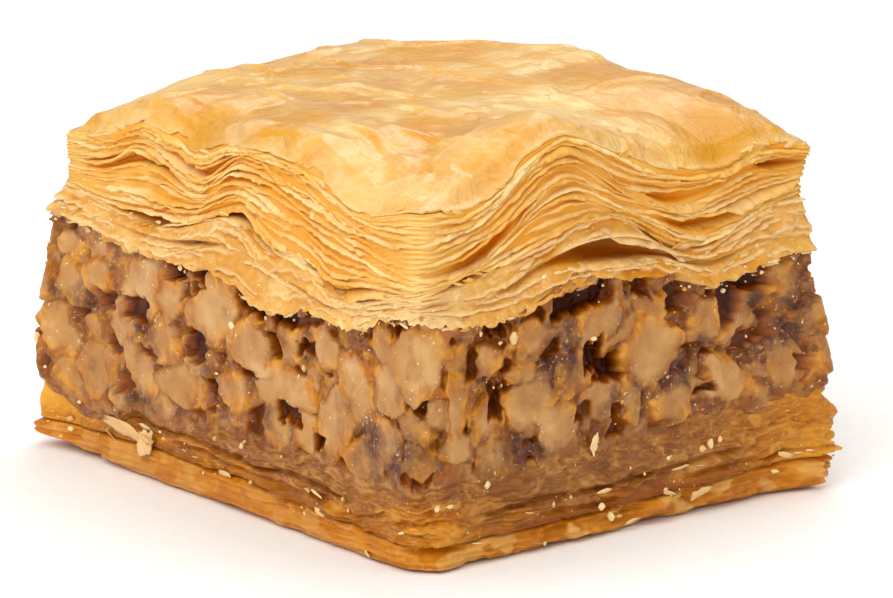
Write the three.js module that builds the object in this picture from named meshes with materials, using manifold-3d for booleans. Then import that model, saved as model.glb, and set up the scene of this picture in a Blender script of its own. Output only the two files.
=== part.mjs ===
// One hand-cut piece of baklava: buttered phyllo leaves below and above a thick band of
// chopped walnuts, baked, cut into blocks and soaked in syrup.
//
// The three layers are three solids: the pastry on top, the walnut filling and the pastry
// base. Phyllo leaves are thinner than a facet, so here the stack's relief is its bundles
// of leaves: the gaps between them, the leaves that droop over the nuts and the crisp
// skin's swells. Units are millimetres, +Z is up, and the origin is the middle of the
// underside, which lies flat.

import * as THREE from 'three';
import { mergeVertices } from 'three/addons/utils/BufferGeometryUtils.js';
import Module from 'manifold-3d';

const wasm = await Module();
wasm.setup();

// ---- Driving sizes -------------------------------------------------------------------

const LENGTH = 61; // left to right, along X
const WIDTH = 50; // front to back, along Y
const FACET = 2; // spacing of the facets round the piece
const GAP = 0.3; // clearance between two layers' solids
const MIN_RISE = 0.15; // least height of a facet row above the one below

// What is given at the four corners is listed front left, front right, back right, back
// left. Near its corners the soaked lower part spreads outwards, and the crisp part
// doesn't. The knife leaves the corners nearly sharp, but the base's soft ones are blunt.
const SPREAD = { out: [1.3, 0.2, 1.6, 0.8], reach: 5, fullBelow: 11, noneAbove: 25 };
const BLUNT = { soft: [1.6, 4.5, 1.8, 3], crisp: [1.2, 1.2, 1.2, 1.2], softBelow: 5, crispAbove: 12 };

// The dome of the baked skin over the level of its edges, and how far an edge's swells
// run in under it before they fade.
const DOME = { rise: 4, power: 4 };
const SWELL_REACH = 10;

// How far each layer's cut side stands back from the full length and width.
const INSET = {
  rim: [1.0, 1.0, 2.2, 1.6],
  base: [0.3, 0.2, 0.0, 0.2],
  filling: [0.7, 0.6, 0.6, 0.7],
  layerEdge: [1.2, 1.1, 1.1, 1.2],
  droop: [0.6, 0.5, 0.5, 0.6],
  lowLeaves: [1.1, 0.9, 1.1, 1.1],
  stack: [2.0, 1.0, 1.5, 1.8],
  skin: [1.9, 1.1, 0.9, 1.5],
};

// ---- Heights round the cut sides -----------------------------------------------------
// Each list gives the crests and troughs of one line that runs round the piece: distance
// round it from the front left corner, and height. Front is 0 to 61, right 61 to 111,
// back 111 to 172 and left 172 to 222.

const BASE_SLIT = wave([
  [0, 2.9], [15, 3.3], [24, 3.5], [46, 2.9], [60, 2.4], [72, 2.4], [95, 2.9],
  [111, 3.5], [135, 2.8], [158, 3.4], [185, 2.7], [205, 3.3],
]);
const NUT_FLOOR = wave([
  [0, 7.6], [8, 5.8], [37, 7.7], [53, 7.3], [75, 8.4], [100, 9.7], [111, 10.8],
  [123, 9.6], [140, 8.4], [158, 9.0], [172, 8.6], [190, 7.8], [208, 8.2],
]);
const NUT_CEILING = wave([
  [1, 24.0], [12, 23.0], [20, 22.3], [31, 22.6], [36.5, 20.6], [46, 21.9], [50, 21.3],
  [60, 23.9], [66, 22.5], [72, 22.4], [79, 24.6], [91, 24.0], [98, 22.1], [107, 23.7],
  [121, 22.6], [133, 23.6], [144, 22.2], [155, 23.3], [165, 22.4], [173, 23.4],
  [183, 22.6], [195, 23.8], [207, 22.8],
]);
const BELLY_POCKET = wave([
  [0, 25.2], [20, 24.3], [32, 25.6], [47, 22.8], [61, 25.0], [70, 25.2], [78, 27.3],
  [84, 27.2], [90, 26.5], [98, 24.2], [108, 26.4], [125, 25.6], [144, 24.4],
  [158, 25.2], [180, 25.2], [193, 25.3], [208, 25.3],
]);
const STACK_FOOT = wave([
  [0, 26.9], [6.5, 26.1], [20, 26.1], [32, 28.8], [37, 26.4], [42, 26.1], [47.5, 24.0],
  [61, 26.1], [76, 29.0], [84.5, 30.4], [94.5, 25.9], [109, 29.1], [120, 27.4],
  [130, 28.6], [141, 26.8], [152, 28.4], [163, 26.6], [172, 27.4], [183, 28.6],
  [193, 26.8], [204, 27.8], [214, 26.6],
]);
const MIDDLE_GAP = wave([
  [0, 29.2], [7, 30.0], [15, 31.9], [24.5, 29.9], [31.5, 32.7], [39, 32.0], [51, 29.2],
  [66, 28.3], [78.3, 34.8], [86, 31.5], [97, 28.3], [108, 30.3], [118, 30.8],
  [130, 32.6], [140, 31.0], [150, 32.4], [163, 30.6], [182, 32.0], [192, 30.2],
  [203, 30.8], [213, 29.4],
]);
const UPPER_GAP = wave([
  [0, 31.4], [10, 32.8], [15, 34.3], [25, 31.9], [32.5, 34.8], [42, 33.7], [52, 31.3],
  [66, 32.0], [78.5, 37.5], [86, 33.8], [94, 31.2], [103.5, 32.9], [115, 32.8],
  [128, 34.8], [137, 34.4], [146, 36.0], [158, 34.6], [172, 33.4], [182, 34.7],
  [190, 33.8], [203, 32.8], [213, 31.6],
]);
const SKIN_EDGE = wave([
  [0, 32.2], [7, 32.9], [15.5, 35.2], [25, 34.0], [31, 35.6], [42, 35.5], [52, 32.5],
  [60, 33.9], [66, 33.6], [70, 34.7], [74, 37.6], [78.5, 39.0], [83, 37.6], [89, 35.1],
  [94, 33.8], [99, 33.6], [104, 35.0], [111, 34.2], [118, 35.3], [127, 36.3],
  [136, 36.5], [146, 37.4], [156, 36.4], [164, 35.0], [172, 34.3], [180, 35.4],
  [188, 35.8], [196, 35.0], [204, 34.7], [212, 33.4],
]);

// The gaps that part the stack into bundles of leaves, from low to high. Each is a groove
// with a least opening and depth, and it widens into pockets where the leaves lift apart:
// where along it, how wide, how tall and how deep.
const LEAF_GAPS = [
  { line: BELLY_POCKET, opening: 0.3, depth: 0.5,
    pockets: [[83.5, 14, 1.9, 3.2], [24, 9, 0.6, 1.2], [136, 12, 1.2, 2.4], [201, 10, 1.0, 2.0]] },
  { line: STACK_FOOT, opening: 0.5, depth: 1.0,
    pockets: [[33, 9, 0.9, 1.8], [52, 7, 0.8, 1.4], [66, 5, 0.9, 1.6], [161, 9, 1.1, 1.8]] },
  { line: MIDDLE_GAP, opening: 0.4, depth: 0.8,
    pockets: [[13, 8, 0.6, 1.4], [68, 7, 0.9, 1.8], [98, 10, 1.0, 1.8], [186, 8, 0.9, 1.6]] },
  { line: UPPER_GAP, opening: 0.3, depth: 0.5,
    pockets: [[25, 9, 0.7, 1.2], [92, 8, 0.7, 1.4], [108, 5, 0.8, 2.0], [147, 8, 0.7, 1.2]] },
];

// ---- Walnuts -------------------------------------------------------------------------
// The large pieces on the front and right sides: distance round the piece, height, width,
// tallness and lean in degrees.

const LARGE_WALNUTS = [
  [0.4, 17.1, 3.9, 4.7, 0], [4.2, 21.3, 4.9, 2.9, 0], [5.2, 17.9, 4.2, 4.3, 0],
  [9.5, 19.1, 5.2, 3.6, 0], [9.4, 9.6, 4.8, 5.6, 0], [13.8, 15.3, 4.4, 5.0, 15],
  [16.5, 19.4, 8.4, 5.4, 20], [16.2, 11.0, 4.7, 6.4, 15], [22.0, 18.8, 4.9, 5.0, -10],
  [23.2, 10.8, 8.2, 4.8, 0], [28.8, 19.0, 8.7, 5.2, 30], [31.4, 11.6, 7.1, 2.9, 0],
  [34.7, 16.6, 8.2, 4.5, -20], [39.8, 13.8, 9.3, 5.1, 0], [42.2, 18.2, 5.4, 3.1, 0],
  [47.7, 12.0, 5.3, 7.0, -15], [46.8, 18.7, 3.5, 3.8, 0], [51.2, 15.6, 5.4, 7.0, 10],
  [56.3, 17.2, 4.7, 5.4, -10], [56.3, 11.8, 5.3, 3.8, -20], [59.9, 19.6, 6.7, 6.6, -15],
  [60.6, 10.8, 4.1, 3.2, 0], [65.4, 15.6, 3.0, 6.4, 0], [65.1, 11.4, 4.7, 3.6, 0],
  [69.0, 14.0, 3.7, 4.3, 0], [68.8, 19.3, 4.1, 3.2, 0], [74.7, 14.0, 6.8, 5.4, -20],
  [77.7, 11.6, 5.2, 4.8, 20], [74.8, 20.4, 6.0, 3.8, 0], [82.8, 13.3, 5.1, 4.4, 0],
  [82.9, 20.6, 6.7, 4.4, 10], [89.4, 17.3, 7.2, 6.5, 10], [86.8, 13.1, 2.6, 6.6, -5],
  [89.9, 21.4, 4.2, 2.9, 0], [95.8, 19.0, 4.0, 5.0, -15], [98.5, 12.7, 6.2, 4.6, -20],
  [105.1, 13.8, 4.9, 5.6, 0], [107.0, 21.0, 6.8, 3.4, -10], [109.8, 17.8, 4.6, 4.0, 0],
  [110.5, 14.0, 4.6, 4.6, 0],
];

// The rest, down to this size, fall by chance into what room is left, on every side.
const CHANCE_WALNUTS = { seed: 41, most: 46, tries: 900, narrowest: 3.0, widest: 7.5 };
const WALNUT = { depth: 0.8, jitter: 0.1, proud: 0.35, margin: 0.45, overlap: 0.78 };

const COLOURS = { skin: '#c98b3f', filling: '#a9835c', base: '#b97a35' };

// ---- Lines and sheets ----------------------------------------------------------------

/** A smooth closed line through crests and troughs: a cubic whose slope at each is the
 *  slope between its two neighbours. */
function wave(points) {
  const round = 2 * (LENGTH + WIDTH);
  const count = points.length;
  const at = (i) => {
    const [along, height] = points[((i % count) + count) % count];
    return [along + round * Math.floor(i / count), height];
  };
  const slope = (i) => (at(i + 1)[1] - at(i - 1)[1]) / (at(i + 1)[0] - at(i - 1)[0]);
  return (along) => {
    const wrapped = ((along % round) + round) % round;
    let i = -1;
    while (at(i + 1)[0] <= wrapped) i += 1;
    const [[a0, h0], [a1, h1]] = [at(i), at(i + 1)];
    const span = a1 - a0;
    const t = (wrapped - a0) / span;
    const rise = h0 * (2 * t ** 3 - 3 * t ** 2 + 1) + h1 * (3 * t ** 2 - 2 * t ** 3);
    return rise + span * (slope(i) * (t ** 3 - 2 * t ** 2 + t) + slope(i + 1) * (t ** 3 - t ** 2));
  };
}

/** The four sides in order: where each starts and ends on the unit square. */
const SIDES = [
  { from: [-1, -1], to: [1, -1], length: LENGTH },
  { from: [1, -1], to: [1, 1], length: WIDTH },
  { from: [1, 1], to: [-1, 1], length: LENGTH },
  { from: [-1, 1], to: [-1, -1], length: WIDTH },
];
let distance = 0;
for (const side of SIDES) {
  side.start = distance;
  distance += side.length;
}
const ROUND = distance;

const mix = (a, b, t) => a + (b - a) * t;
const clamp = (value, limit) => Math.min(Math.max(value, -limit), limit);
const bump = (away, width) => Math.exp(-((2 * away / width) ** 2));

/** The side at a distance round the piece, and how far along it that is, from 0 to 1. */
function sideAt(along) {
  const wrapped = ((along % ROUND) + ROUND) % ROUND;
  const index = SIDES.findIndex((side) => wrapped <= side.start + side.length);
  return [index, (wrapped - SIDES[index].start) / SIDES[index].length];
}

/** A value given at the four corners, carried evenly along the sides between them. */
function byCorner(corners, along) {
  const [index, t] = sideAt(along);
  return mix(corners[index], corners[(index + 1) % SIDES.length], t);
}

/** How far a side is pushed out by the spread, near the corner of a quarter of the piece. */
function spread(u, v, fromCorner, height) {
  const corner = v < 0 ? Number(u > 0) : 3 - Number(u > 0);
  const t = THREE.MathUtils.smoothstep(height, SPREAD.fullBelow, SPREAD.noneAbove);
  return SPREAD.out[corner] * (1 - t) * Math.exp(-((fromCorner / SPREAD.reach) ** 2));
}

/** Half the piece's length and half its width, seen from a place on the unit square. */
const halfLength = (u, v, inset, height) =>
  LENGTH / 2 - inset + spread(u, v, (1 - Math.abs(v)) * WIDTH / 2, height);
const halfWidth = (u, v, inset, height) =>
  WIDTH / 2 - inset + spread(u, v, (1 - Math.abs(u)) * LENGTH / 2, height);

/** The place on the edge of the unit square at a distance round the piece. */
function squarePlace(along) {
  const [index, t] = sideAt(along);
  const { from, to } = SIDES[index];
  return [mix(from[0], to[0], t), mix(from[1], to[1], t)];
}

/** A point of the rounded outline. The sharp rectangle's point is drawn in to the corner's
 *  radius from a rectangle that is smaller all round by that radius. */
function outline(along, inset, height) {
  const [u, v] = squarePlace(along);
  const [halfX, halfY] = [halfLength(u, v, inset, height), halfWidth(u, v, inset, height)];
  const crispness = THREE.MathUtils.smoothstep(height, BLUNT.softBelow, BLUNT.crispAbove);
  const radius = mix(byCorner(BLUNT.soft, along), byCorner(BLUNT.crisp, along), crispness);
  const sharp = new THREE.Vector2(u * halfX, v * halfY);
  const inner = new THREE.Vector2(clamp(sharp.x, halfX - radius), clamp(sharp.y, halfY - radius));
  return sharp.sub(inner).setLength(radius).add(inner);
}

/** The height of a whole layer's face: a slanted plane through the four corners, plus what
 *  each side's line adds to that plane, fading inwards, plus a dome. */
function sheetHeight(line, x, y, rise = 0) {
  const [u, v] = [x / LENGTH + 0.5, y / WIDTH + 0.5];
  const corner = SIDES.map((side) => line(side.start));
  let height = mix(mix(corner[0], corner[1], u), mix(corner[3], corner[2], u), v);
  const places = [
    [u, y + WIDTH / 2], [v, LENGTH / 2 - x], [1 - u, WIDTH / 2 - y], [1 - v, x + LENGTH / 2],
  ];
  places.forEach(([place, inward], i) => {
    const t = Math.min(Math.max(place, 0), 1);
    const extra = line(SIDES[i].start + t * SIDES[i].length)
      - mix(corner[i], corner[(i + 1) % SIDES.length], t);
    height += extra * Math.exp(-((Math.max(inward, 0) / SWELL_REACH) ** 2));
  });
  const flatness = (part) => 1 - Math.min(Math.abs(2 * part - 1), 1) ** DOME.power;
  return height + rise * flatness(u) * flatness(v);
}

// ---- Building layers from rings ------------------------------------------------------

const STATIONS = SIDES.flatMap((side) => {
  const facets = Math.round(side.length / FACET);
  return Array.from({ length: facets }, (_, i) => side.start + side.length * (i / facets));
});

/** Collects rings of points from the middle of a layer's underside, up its side and in to
 *  the middle of its top, and closes them into one solid. */
class RingBuilder {
  rings = [];

  /** The edge of the flat spot that the piece rests on: a plain rectangle, whose four
   *  corners hold it steady. */
  rest(share) {
    this.rings.push(STATIONS.map((along) => {
      const [u, v] = squarePlace(along);
      return new THREE.Vector3((u * share * LENGTH) / 2, (v * share * WIDTH) / 2, 0);
    }));
    this.rings.at(-1).share = share;
    return this;
  }

  /** A ring on the cut side. It is kept a little above the side's ring below it. */
  side(insets, line) {
    const below = this.rings.at(-1);
    this.rings.push(STATIONS.map((along, i) => {
      const height = below?.share === 1
        ? Math.max(line(along), below[i].z + MIN_RISE) : line(along);
      const { x, y } = outline(along, byCorner(insets, along), height);
      return new THREE.Vector3(x, y, height);
    }));
    this.rings.at(-1).share = 1;
    return this;
  }

  /** A groove: its lower lip, its bottom and its upper lip. */
  groove(insets, gap) {
    const widen = (along, size) => gap.pockets.reduce(
      (sum, pocket) => sum + pocket[size] * bump(along - pocket[0], pocket[1]), 0);
    const half = (along) => (gap.opening + widen(along, 2)) / 2;
    this.side(insets, (along) => gap.line(along) - half(along));
    this.side(insets, gap.line);
    const cut = this.rings.at(-1);
    STATIONS.forEach((along, i) => {
      const inset = byCorner(insets, along) + gap.depth + widen(along, 3);
      const { x, y } = outline(along, inset, cut[i].z);
      cut[i].set(x, y, cut[i].z);
    });
    return this.side(insets, (along) => gap.line(along) + half(along));
  }

  /** A ring inside the layer: the outline shrunk to a share of its size, on a sheet. */
  inner(insets, share, sheet) {
    this.rings.push(STATIONS.map((along) => {
      const { x, y } = outline(along, byCorner(insets, along), sheet(0, 0))
        .multiplyScalar(share);
      return new THREE.Vector3(x, y, sheet(x, y));
    }));
    this.rings.at(-1).share = share;
    return this;
  }

  /** Closes the rings. Each four-cornered facet is halved the same way on two faces that
   *  lie against each other, from its inner near corner to its outer far one. */
  geometry(undersideMiddle, topMiddle) {
    const count = STATIONS.length;
    const points = [...this.rings.flat(), undersideMiddle, topMiddle];
    const [bottomPole, topPole] = [points.length - 2, points.length - 1];
    const lastRing = (this.rings.length - 1) * count;
    const index = [];
    for (let i = 0; i < count; i += 1) {
      const next = (i + 1) % count;
      index.push(bottomPole, next, i);
      index.push(lastRing + i, lastRing + next, topPole);
      for (let ring = 0; ring < this.rings.length - 1; ring += 1) {
        const [a, b] = [ring * count + i, ring * count + next];
        const [c, d] = [b + count, a + count];
        const inwards = this.rings[ring + 1].share < this.rings[ring].share;
        if (inwards) index.push(a, b, d, b, c, d);
        else index.push(a, b, c, a, c, d);
      }
    }
    const geometry = new THREE.BufferGeometry().setFromPoints(points);
    return geometry.setIndex(index);
  }
}

const offset = (line, rise) => (along) => line(along) + rise;
const blend = (low, high, t) => (along) => mix(low(along), high(along), t);
const INNER_SHARE = 0.65; // the ring inside the hidden faces between two layers
const SKIN_SHARES = [0.93, 0.84, 0.7, 0.5, 0.25]; // rings of the domed top

// ---- Base: compressed, syrup-soaked leaves with a crisp lowest rim --------------------

function baseGeometry() {
  const rim = {
    lift: 0.2, height: 0.7, lip: 1.5, lipInset: [0.1, 0, 1.2, 0.3], curl: 1.1, curlWidth: 16,
  };
  const curl = (along) => rim.curl * bump((along + ROUND / 2) % ROUND - ROUND / 2, rim.curlWidth);
  const restShare = 0.8;
  const slit = { line: BASE_SLIT, opening: 0.35, depth: 0.8, pockets: [[110, 6, 0.4, 0.8]] };
  const sheet = (x, y) => sheetHeight(NUT_FLOOR, x, y) - GAP / 2;
  const rings = new RingBuilder()
    .rest(restShare)
    .side(INSET.rim, (along) => rim.lift + curl(along))
    .side(rim.lipInset, (along) => rim.height + curl(along))
    .side(rim.lipInset, (along) => rim.lip + curl(along))
    .groove(INSET.base, slit)
    .side(INSET.base, blend(BASE_SLIT, NUT_FLOOR, 0.7))
    .side(INSET.layerEdge, offset(NUT_FLOOR, -GAP / 2));
  return rings.inner(INSET.layerEdge, INNER_SHARE, sheet)
    .geometry(new THREE.Vector3(), new THREE.Vector3(0, 0, sheet(0, 0)));
}

// ---- Top: the stack of leaves, its parted bundles and the domed skin -----------------

function topGeometry() {
  const under = (x, y) => sheetHeight(NUT_CEILING, x, y) + GAP / 2;
  const skin = (x, y) => sheetHeight(SKIN_EDGE, x, y, DOME.rise);
  const droopHeight = 0.9;
  const skinThickness = 0.4;
  const [belly, foot, middle, upper] = LEAF_GAPS;
  const rings = new RingBuilder()
    .inner(INSET.layerEdge, INNER_SHARE, under)
    .side(INSET.layerEdge, offset(NUT_CEILING, GAP / 2))
    .side(INSET.droop, offset(NUT_CEILING, droopHeight))
    .groove(INSET.lowLeaves, belly)
    .groove(INSET.stack, foot)
    .groove(INSET.stack, middle)
    .groove(INSET.skin, upper)
    .side(INSET.skin, offset(SKIN_EDGE, -skinThickness))
    .side(INSET.skin, SKIN_EDGE);
  for (const share of SKIN_SHARES) rings.inner(INSET.skin, share, skin);
  return rings.geometry(
    new THREE.Vector3(0, 0, under(0, 0)),
    new THREE.Vector3(0, 0, skin(0, 0)),
  );
}

// ---- Filling: a crumbly core with the walnut pieces that show at its sides -----------

/** Repeatable draws from 0 to 1. */
function draws(seed) {
  let state = seed;
  return () => {
    state = (state * 1664525 + 1013904223) % 4294967296;
    return state / 4294967296;
  };
}

function fillingCoreGeometry() {
  const floor = (x, y) => sheetHeight(NUT_FLOOR, x, y) + GAP / 2;
  const ceiling = (x, y) => sheetHeight(NUT_CEILING, x, y) - GAP / 2;
  const rings = new RingBuilder()
    .inner(INSET.layerEdge, INNER_SHARE, floor)
    .side(INSET.layerEdge, offset(NUT_FLOOR, GAP / 2))
    .side(INSET.layerEdge, blend(NUT_FLOOR, NUT_CEILING, 0.5))
    .side(INSET.layerEdge, offset(NUT_CEILING, -GAP / 2))
    .inner(INSET.layerEdge, INNER_SHARE, ceiling);
  return rings.geometry(
    new THREE.Vector3(0, 0, floor(0, 0)),
    new THREE.Vector3(0, 0, ceiling(0, 0)),
  );
}

/** The large pieces, then as many smaller ones as chance finds room for. */
function walnutPlaces() {
  const draw = draws(CHANCE_WALNUTS.seed);
  const places = LARGE_WALNUTS.map(
    ([along, height, width, tall, lean]) => ({ along, height, width, tall, lean }));
  const { narrowest, widest, tries, most } = CHANCE_WALNUTS;
  for (let i = 0; i < tries && places.length < LARGE_WALNUTS.length + most; i += 1) {
    const along = draw() * ROUND;
    const width = mix(widest, narrowest, (i / tries) ** 0.5) * mix(0.8, 1.2, draw());
    const tall = width * mix(0.6, 0.95, draw());
    const low = NUT_FLOOR(along) + 0.4 * tall;
    const high = NUT_CEILING(along) - 0.4 * tall;
    const place = { along, height: mix(low, high, draw()), width, tall, lean: 90 * (draw() - 0.5) };
    const free = places.every((other) => {
      const apart = Math.abs(along - other.along);
      const sideways = Math.min(apart, ROUND - apart) / ((width + other.width) / 2);
      const upright = (place.height - other.height) / ((tall + other.tall) / 2);
      return Math.hypot(sideways, upright) > WALNUT.overlap;
    });
    if (free) places.push(place);
  }
  return places;
}

/** One broken piece: a jittered icosahedron stretched to its size, leaned, and shaved
 *  flat where it would pass the knife's cut or the pastry. */
function walnutGeometry({ along, height, width, tall, lean }, draw) {
  const geometry = new THREE.IcosahedronGeometry(1, 0);
  geometry.deleteAttribute('normal');
  geometry.deleteAttribute('uv');
  const merged = mergeVertices(geometry);
  const depth = Math.min(width, tall) * WALNUT.depth;
  const [index] = sideAt(along);
  const { from, to } = SIDES[index];
  const facing = Math.atan2(to[1] - from[1], to[0] - from[0]);
  const inset = byCorner(INSET.filling, along);
  const centre = outline(along, inset, height);
  const place = new THREE.Matrix4()
    .makeTranslation(centre.x, centre.y, height)
    .multiply(new THREE.Matrix4().makeRotationZ(facing))
    .multiply(new THREE.Matrix4().makeRotationY(THREE.MathUtils.degToRad(lean)))
    .multiply(new THREE.Matrix4().makeScale(width / 2, depth, tall / 2))
    .multiply(new THREE.Matrix4().makeRotationZ(draw() * Math.PI));
  const position = merged.getAttribute('position');
  const point = new THREE.Vector3();
  for (let i = 0; i < position.count; i += 1) {
    point.fromBufferAttribute(position, i).multiplyScalar(1 + WALNUT.jitter * (2 * draw() - 1));
    point.applyMatrix4(place);
    const proud = inset - WALNUT.proud * draw();
    point.z = Math.max(point.z, sheetHeight(NUT_FLOOR, point.x, point.y) + WALNUT.margin);
    point.z = Math.min(point.z, sheetHeight(NUT_CEILING, point.x, point.y) - WALNUT.margin);
    const [u, v] = [clamp(point.x / (LENGTH / 2), 1), clamp(point.y / (WIDTH / 2), 1)];
    point.x = clamp(point.x, halfLength(u, v, proud, point.z));
    point.y = clamp(point.y, halfWidth(u, v, proud, point.z));
    position.setXYZ(i, point.x, point.y, point.z);
  }
  return merged;
}

function toManifold(geometry) {
  return new wasm.Manifold(new wasm.Mesh({
    numProp: 3,
    vertProperties: new Float32Array(geometry.getAttribute('position').array),
    triVerts: new Uint32Array(geometry.getIndex().array),
  }));
}

function fillingGeometry() {
  const draw = draws(CHANCE_WALNUTS.seed + 1);
  let filling = toManifold(fillingCoreGeometry());
  for (const place of walnutPlaces()) filling = filling.add(toManifold(walnutGeometry(place, draw)));
  const pieces = filling.decompose();
  const largest = pieces.reduce((best, piece) => (piece.volume() > best.volume() ? piece : best));
  const mesh = largest.getMesh();
  const geometry = new THREE.BufferGeometry();
  geometry.setAttribute('position', new THREE.BufferAttribute(mesh.vertProperties, 3));
  return geometry.setIndex(new THREE.BufferAttribute(mesh.triVerts, 1));
}

// ---- The piece -----------------------------------------------------------------------

function layer(name, geometry, color, roughness) {
  geometry.computeVertexNormals();
  const material = new THREE.MeshStandardMaterial({ color, roughness, metalness: 0, flatShading: true });
  const mesh = new THREE.Mesh(geometry, material);
  mesh.name = name;
  return mesh;
}

const piece = new THREE.Group();
piece.add(
  layer('pastry_base', baseGeometry(), COLOURS.base, 0.45),
  layer('walnut_filling', fillingGeometry(), COLOURS.filling, 0.6),
  layer('pastry_top', topGeometry(), COLOURS.skin, 0.35),
);

export default piece;
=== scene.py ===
# %% [markdown]
# # One piece of baklava
#
# Baklava is buttered phyllo, a band of chopped walnuts and more phyllo, baked in a tray,
# cut into blocks and soaked in syrup. The imported model gives three plain layers. This
# lesson dresses them: leaf edges, cut nuts, paste, crumbs and flakes, glazed with syrup.
#
# The imported model comes first, because every new piece has to stay where its layer is.

# %% The imported model
import itertools

import bpy
import numpy as np
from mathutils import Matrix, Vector


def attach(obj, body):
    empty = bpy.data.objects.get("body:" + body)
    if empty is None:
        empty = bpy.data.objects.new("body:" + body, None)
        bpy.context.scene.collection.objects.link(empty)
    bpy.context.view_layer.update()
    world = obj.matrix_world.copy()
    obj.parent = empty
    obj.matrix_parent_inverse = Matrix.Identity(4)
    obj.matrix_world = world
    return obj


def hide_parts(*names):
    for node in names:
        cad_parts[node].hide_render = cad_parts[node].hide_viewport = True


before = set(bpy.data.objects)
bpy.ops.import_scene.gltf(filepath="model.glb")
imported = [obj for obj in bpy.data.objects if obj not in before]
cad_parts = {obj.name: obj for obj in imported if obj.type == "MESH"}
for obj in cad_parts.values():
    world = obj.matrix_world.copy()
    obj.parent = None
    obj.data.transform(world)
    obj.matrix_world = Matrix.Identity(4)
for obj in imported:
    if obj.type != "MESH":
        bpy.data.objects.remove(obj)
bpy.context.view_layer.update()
print("layers:", sorted(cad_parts))

# %% [markdown]
# ## Sizes
#
# All sizes are millimetres and become metres when a mesh is made. A place on the cut side
# is given by three numbers: how far round the piece it is from the front left corner, how
# far it stands back from the full length and width, and its height.

# %% The block's sizes
MM = 0.001
LENGTH = 61.0
WIDTH = 50.0
ROUND = 2 * (LENGTH + WIDTH)
SIDE_LENGTHS = np.array([LENGTH, WIDTH, LENGTH, WIDTH])
SIDE_STARTS = np.array([0.0, LENGTH, LENGTH + WIDTH, 2 * LENGTH + WIDTH])
SQUARE = np.array([[-1, -1], [1, -1], [1, 1], [-1, 1], [-1, -1]], float)

# Given at the corners: front left, front right, back right, back left.
SPREAD_OUT = np.array([1.3, 0.2, 1.6, 0.8])
SPREAD_REACH = 5.0
SPREAD_FULL_BELOW, SPREAD_NONE_ABOVE = 11.0, 25.0
# Corner radii: blunt where the pastry is soaked, nearly sharp where it is crisp.
BLUNT_SOFT = np.array([1.6, 4.5, 1.8, 3.0])
BLUNT_CRISP = 1.2
BLUNT_SOFT_BELOW, BLUNT_CRISP_ABOVE = 5.0, 12.0
DOME_RISE, DOME_POWER = 4.0, 4
# How far inwards the waves of a cut side can still be felt.
SWELL_REACH = 10.0
# A side's last point still counts as its own.
NEARLY_ONE = 0.99999

# How far each border stands back from the full length and width, at the same corners.
INSET = {
    "rim": [1.0, 1.0, 2.2, 1.6],
    "lip": [0.1, 0.0, 1.2, 0.3],
    "base": [0.3, 0.2, 0.0, 0.2],
    "filling": [0.7, 0.6, 0.6, 0.7],
    "droop": [0.6, 0.5, 0.5, 0.6],
    "low": [1.1, 0.9, 1.1, 1.1],
    "stack": [2.0, 1.0, 1.5, 1.8],
    "skin": [1.9, 1.1, 0.9, 1.5],
}

# %% [markdown]
# ## Lines round the piece
#
# The border between two layers rises and falls as it runs round the block. Each line is
# given by its crests and troughs, and a cubic curve joins them without a kink.


# %% Closed lines
def wave(*knots):
    """A closed line through (distance round, height) knots: a cubic whose slope at each
    knot is the slope between its two neighbours."""
    knots = np.array(knots, float)
    before = knots[-2:] - [ROUND, 0]
    after = knots[:3] + [ROUND, 0]
    along, height = np.vstack([before, knots, after]).T
    slope = (height[2:] - height[:-2]) / (along[2:] - along[:-2])
    along, height = along[1:-1], height[1:-1]

    def line(place):
        place = np.mod(place, ROUND)
        i = np.clip(np.searchsorted(along, place, side="right") - 1, 0, len(along) - 2)
        span = along[i + 1] - along[i]
        t = (place - along[i]) / span
        rise = height[i] * (2 * t**3 - 3 * t**2 + 1) + height[i + 1] * (3 * t**2 - 2 * t**3)
        lean = slope[i] * (t**3 - 2 * t**2 + t) + slope[i + 1] * (t**3 - t**2)
        return rise + span * lean

    return line


BASE_SLIT = wave(
    (0, 2.9), (15, 3.3), (24, 3.5), (46, 2.9), (60, 2.4), (72, 2.4), (95, 2.9),
    (111, 3.5), (135, 2.8), (158, 3.4), (185, 2.7), (205, 3.3),
)
NUT_FLOOR = wave(
    (0, 7.6), (8, 5.8), (37, 7.7), (53, 7.3), (75, 8.4), (100, 9.7), (111, 10.8),
    (123, 9.6), (140, 8.4), (158, 9.0), (172, 8.6), (190, 7.8), (208, 8.2),
)
NUT_CEILING = wave(
    (1, 24.0), (12, 23.0), (20, 22.3), (31, 22.6), (36.5, 20.6), (46, 21.9), (50, 21.3),
    (60, 23.9), (66, 22.5), (72, 22.4), (79, 24.6), (91, 24.0), (98, 22.1), (107, 23.7),
    (121, 22.6), (133, 23.6), (144, 22.2), (155, 23.3), (165, 22.4), (173, 23.4),
    (183, 22.6), (195, 23.8), (207, 22.8),
)
BELLY_POCKET = wave(
    (0, 25.2), (20, 24.3), (32, 25.6), (47, 22.8), (61, 25.0), (70, 25.2), (78, 27.3),
    (84, 27.2), (90, 26.5), (98, 24.2), (108, 26.4), (125, 25.6), (144, 24.4),
    (158, 25.2), (180, 25.2), (193, 25.3), (208, 25.3),
)
STACK_FOOT = wave(
    (0, 26.9), (6.5, 26.1), (20, 26.1), (32, 28.8), (37, 26.4), (42, 26.1), (47.5, 24.0),
    (61, 26.1), (76, 29.0), (84.5, 30.4), (94.5, 25.9), (109, 29.1), (120, 27.4),
    (130, 28.6), (141, 26.8), (152, 28.4), (163, 26.6), (172, 27.4), (183, 28.6),
    (193, 26.8), (204, 27.8), (214, 26.6),
)
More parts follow.
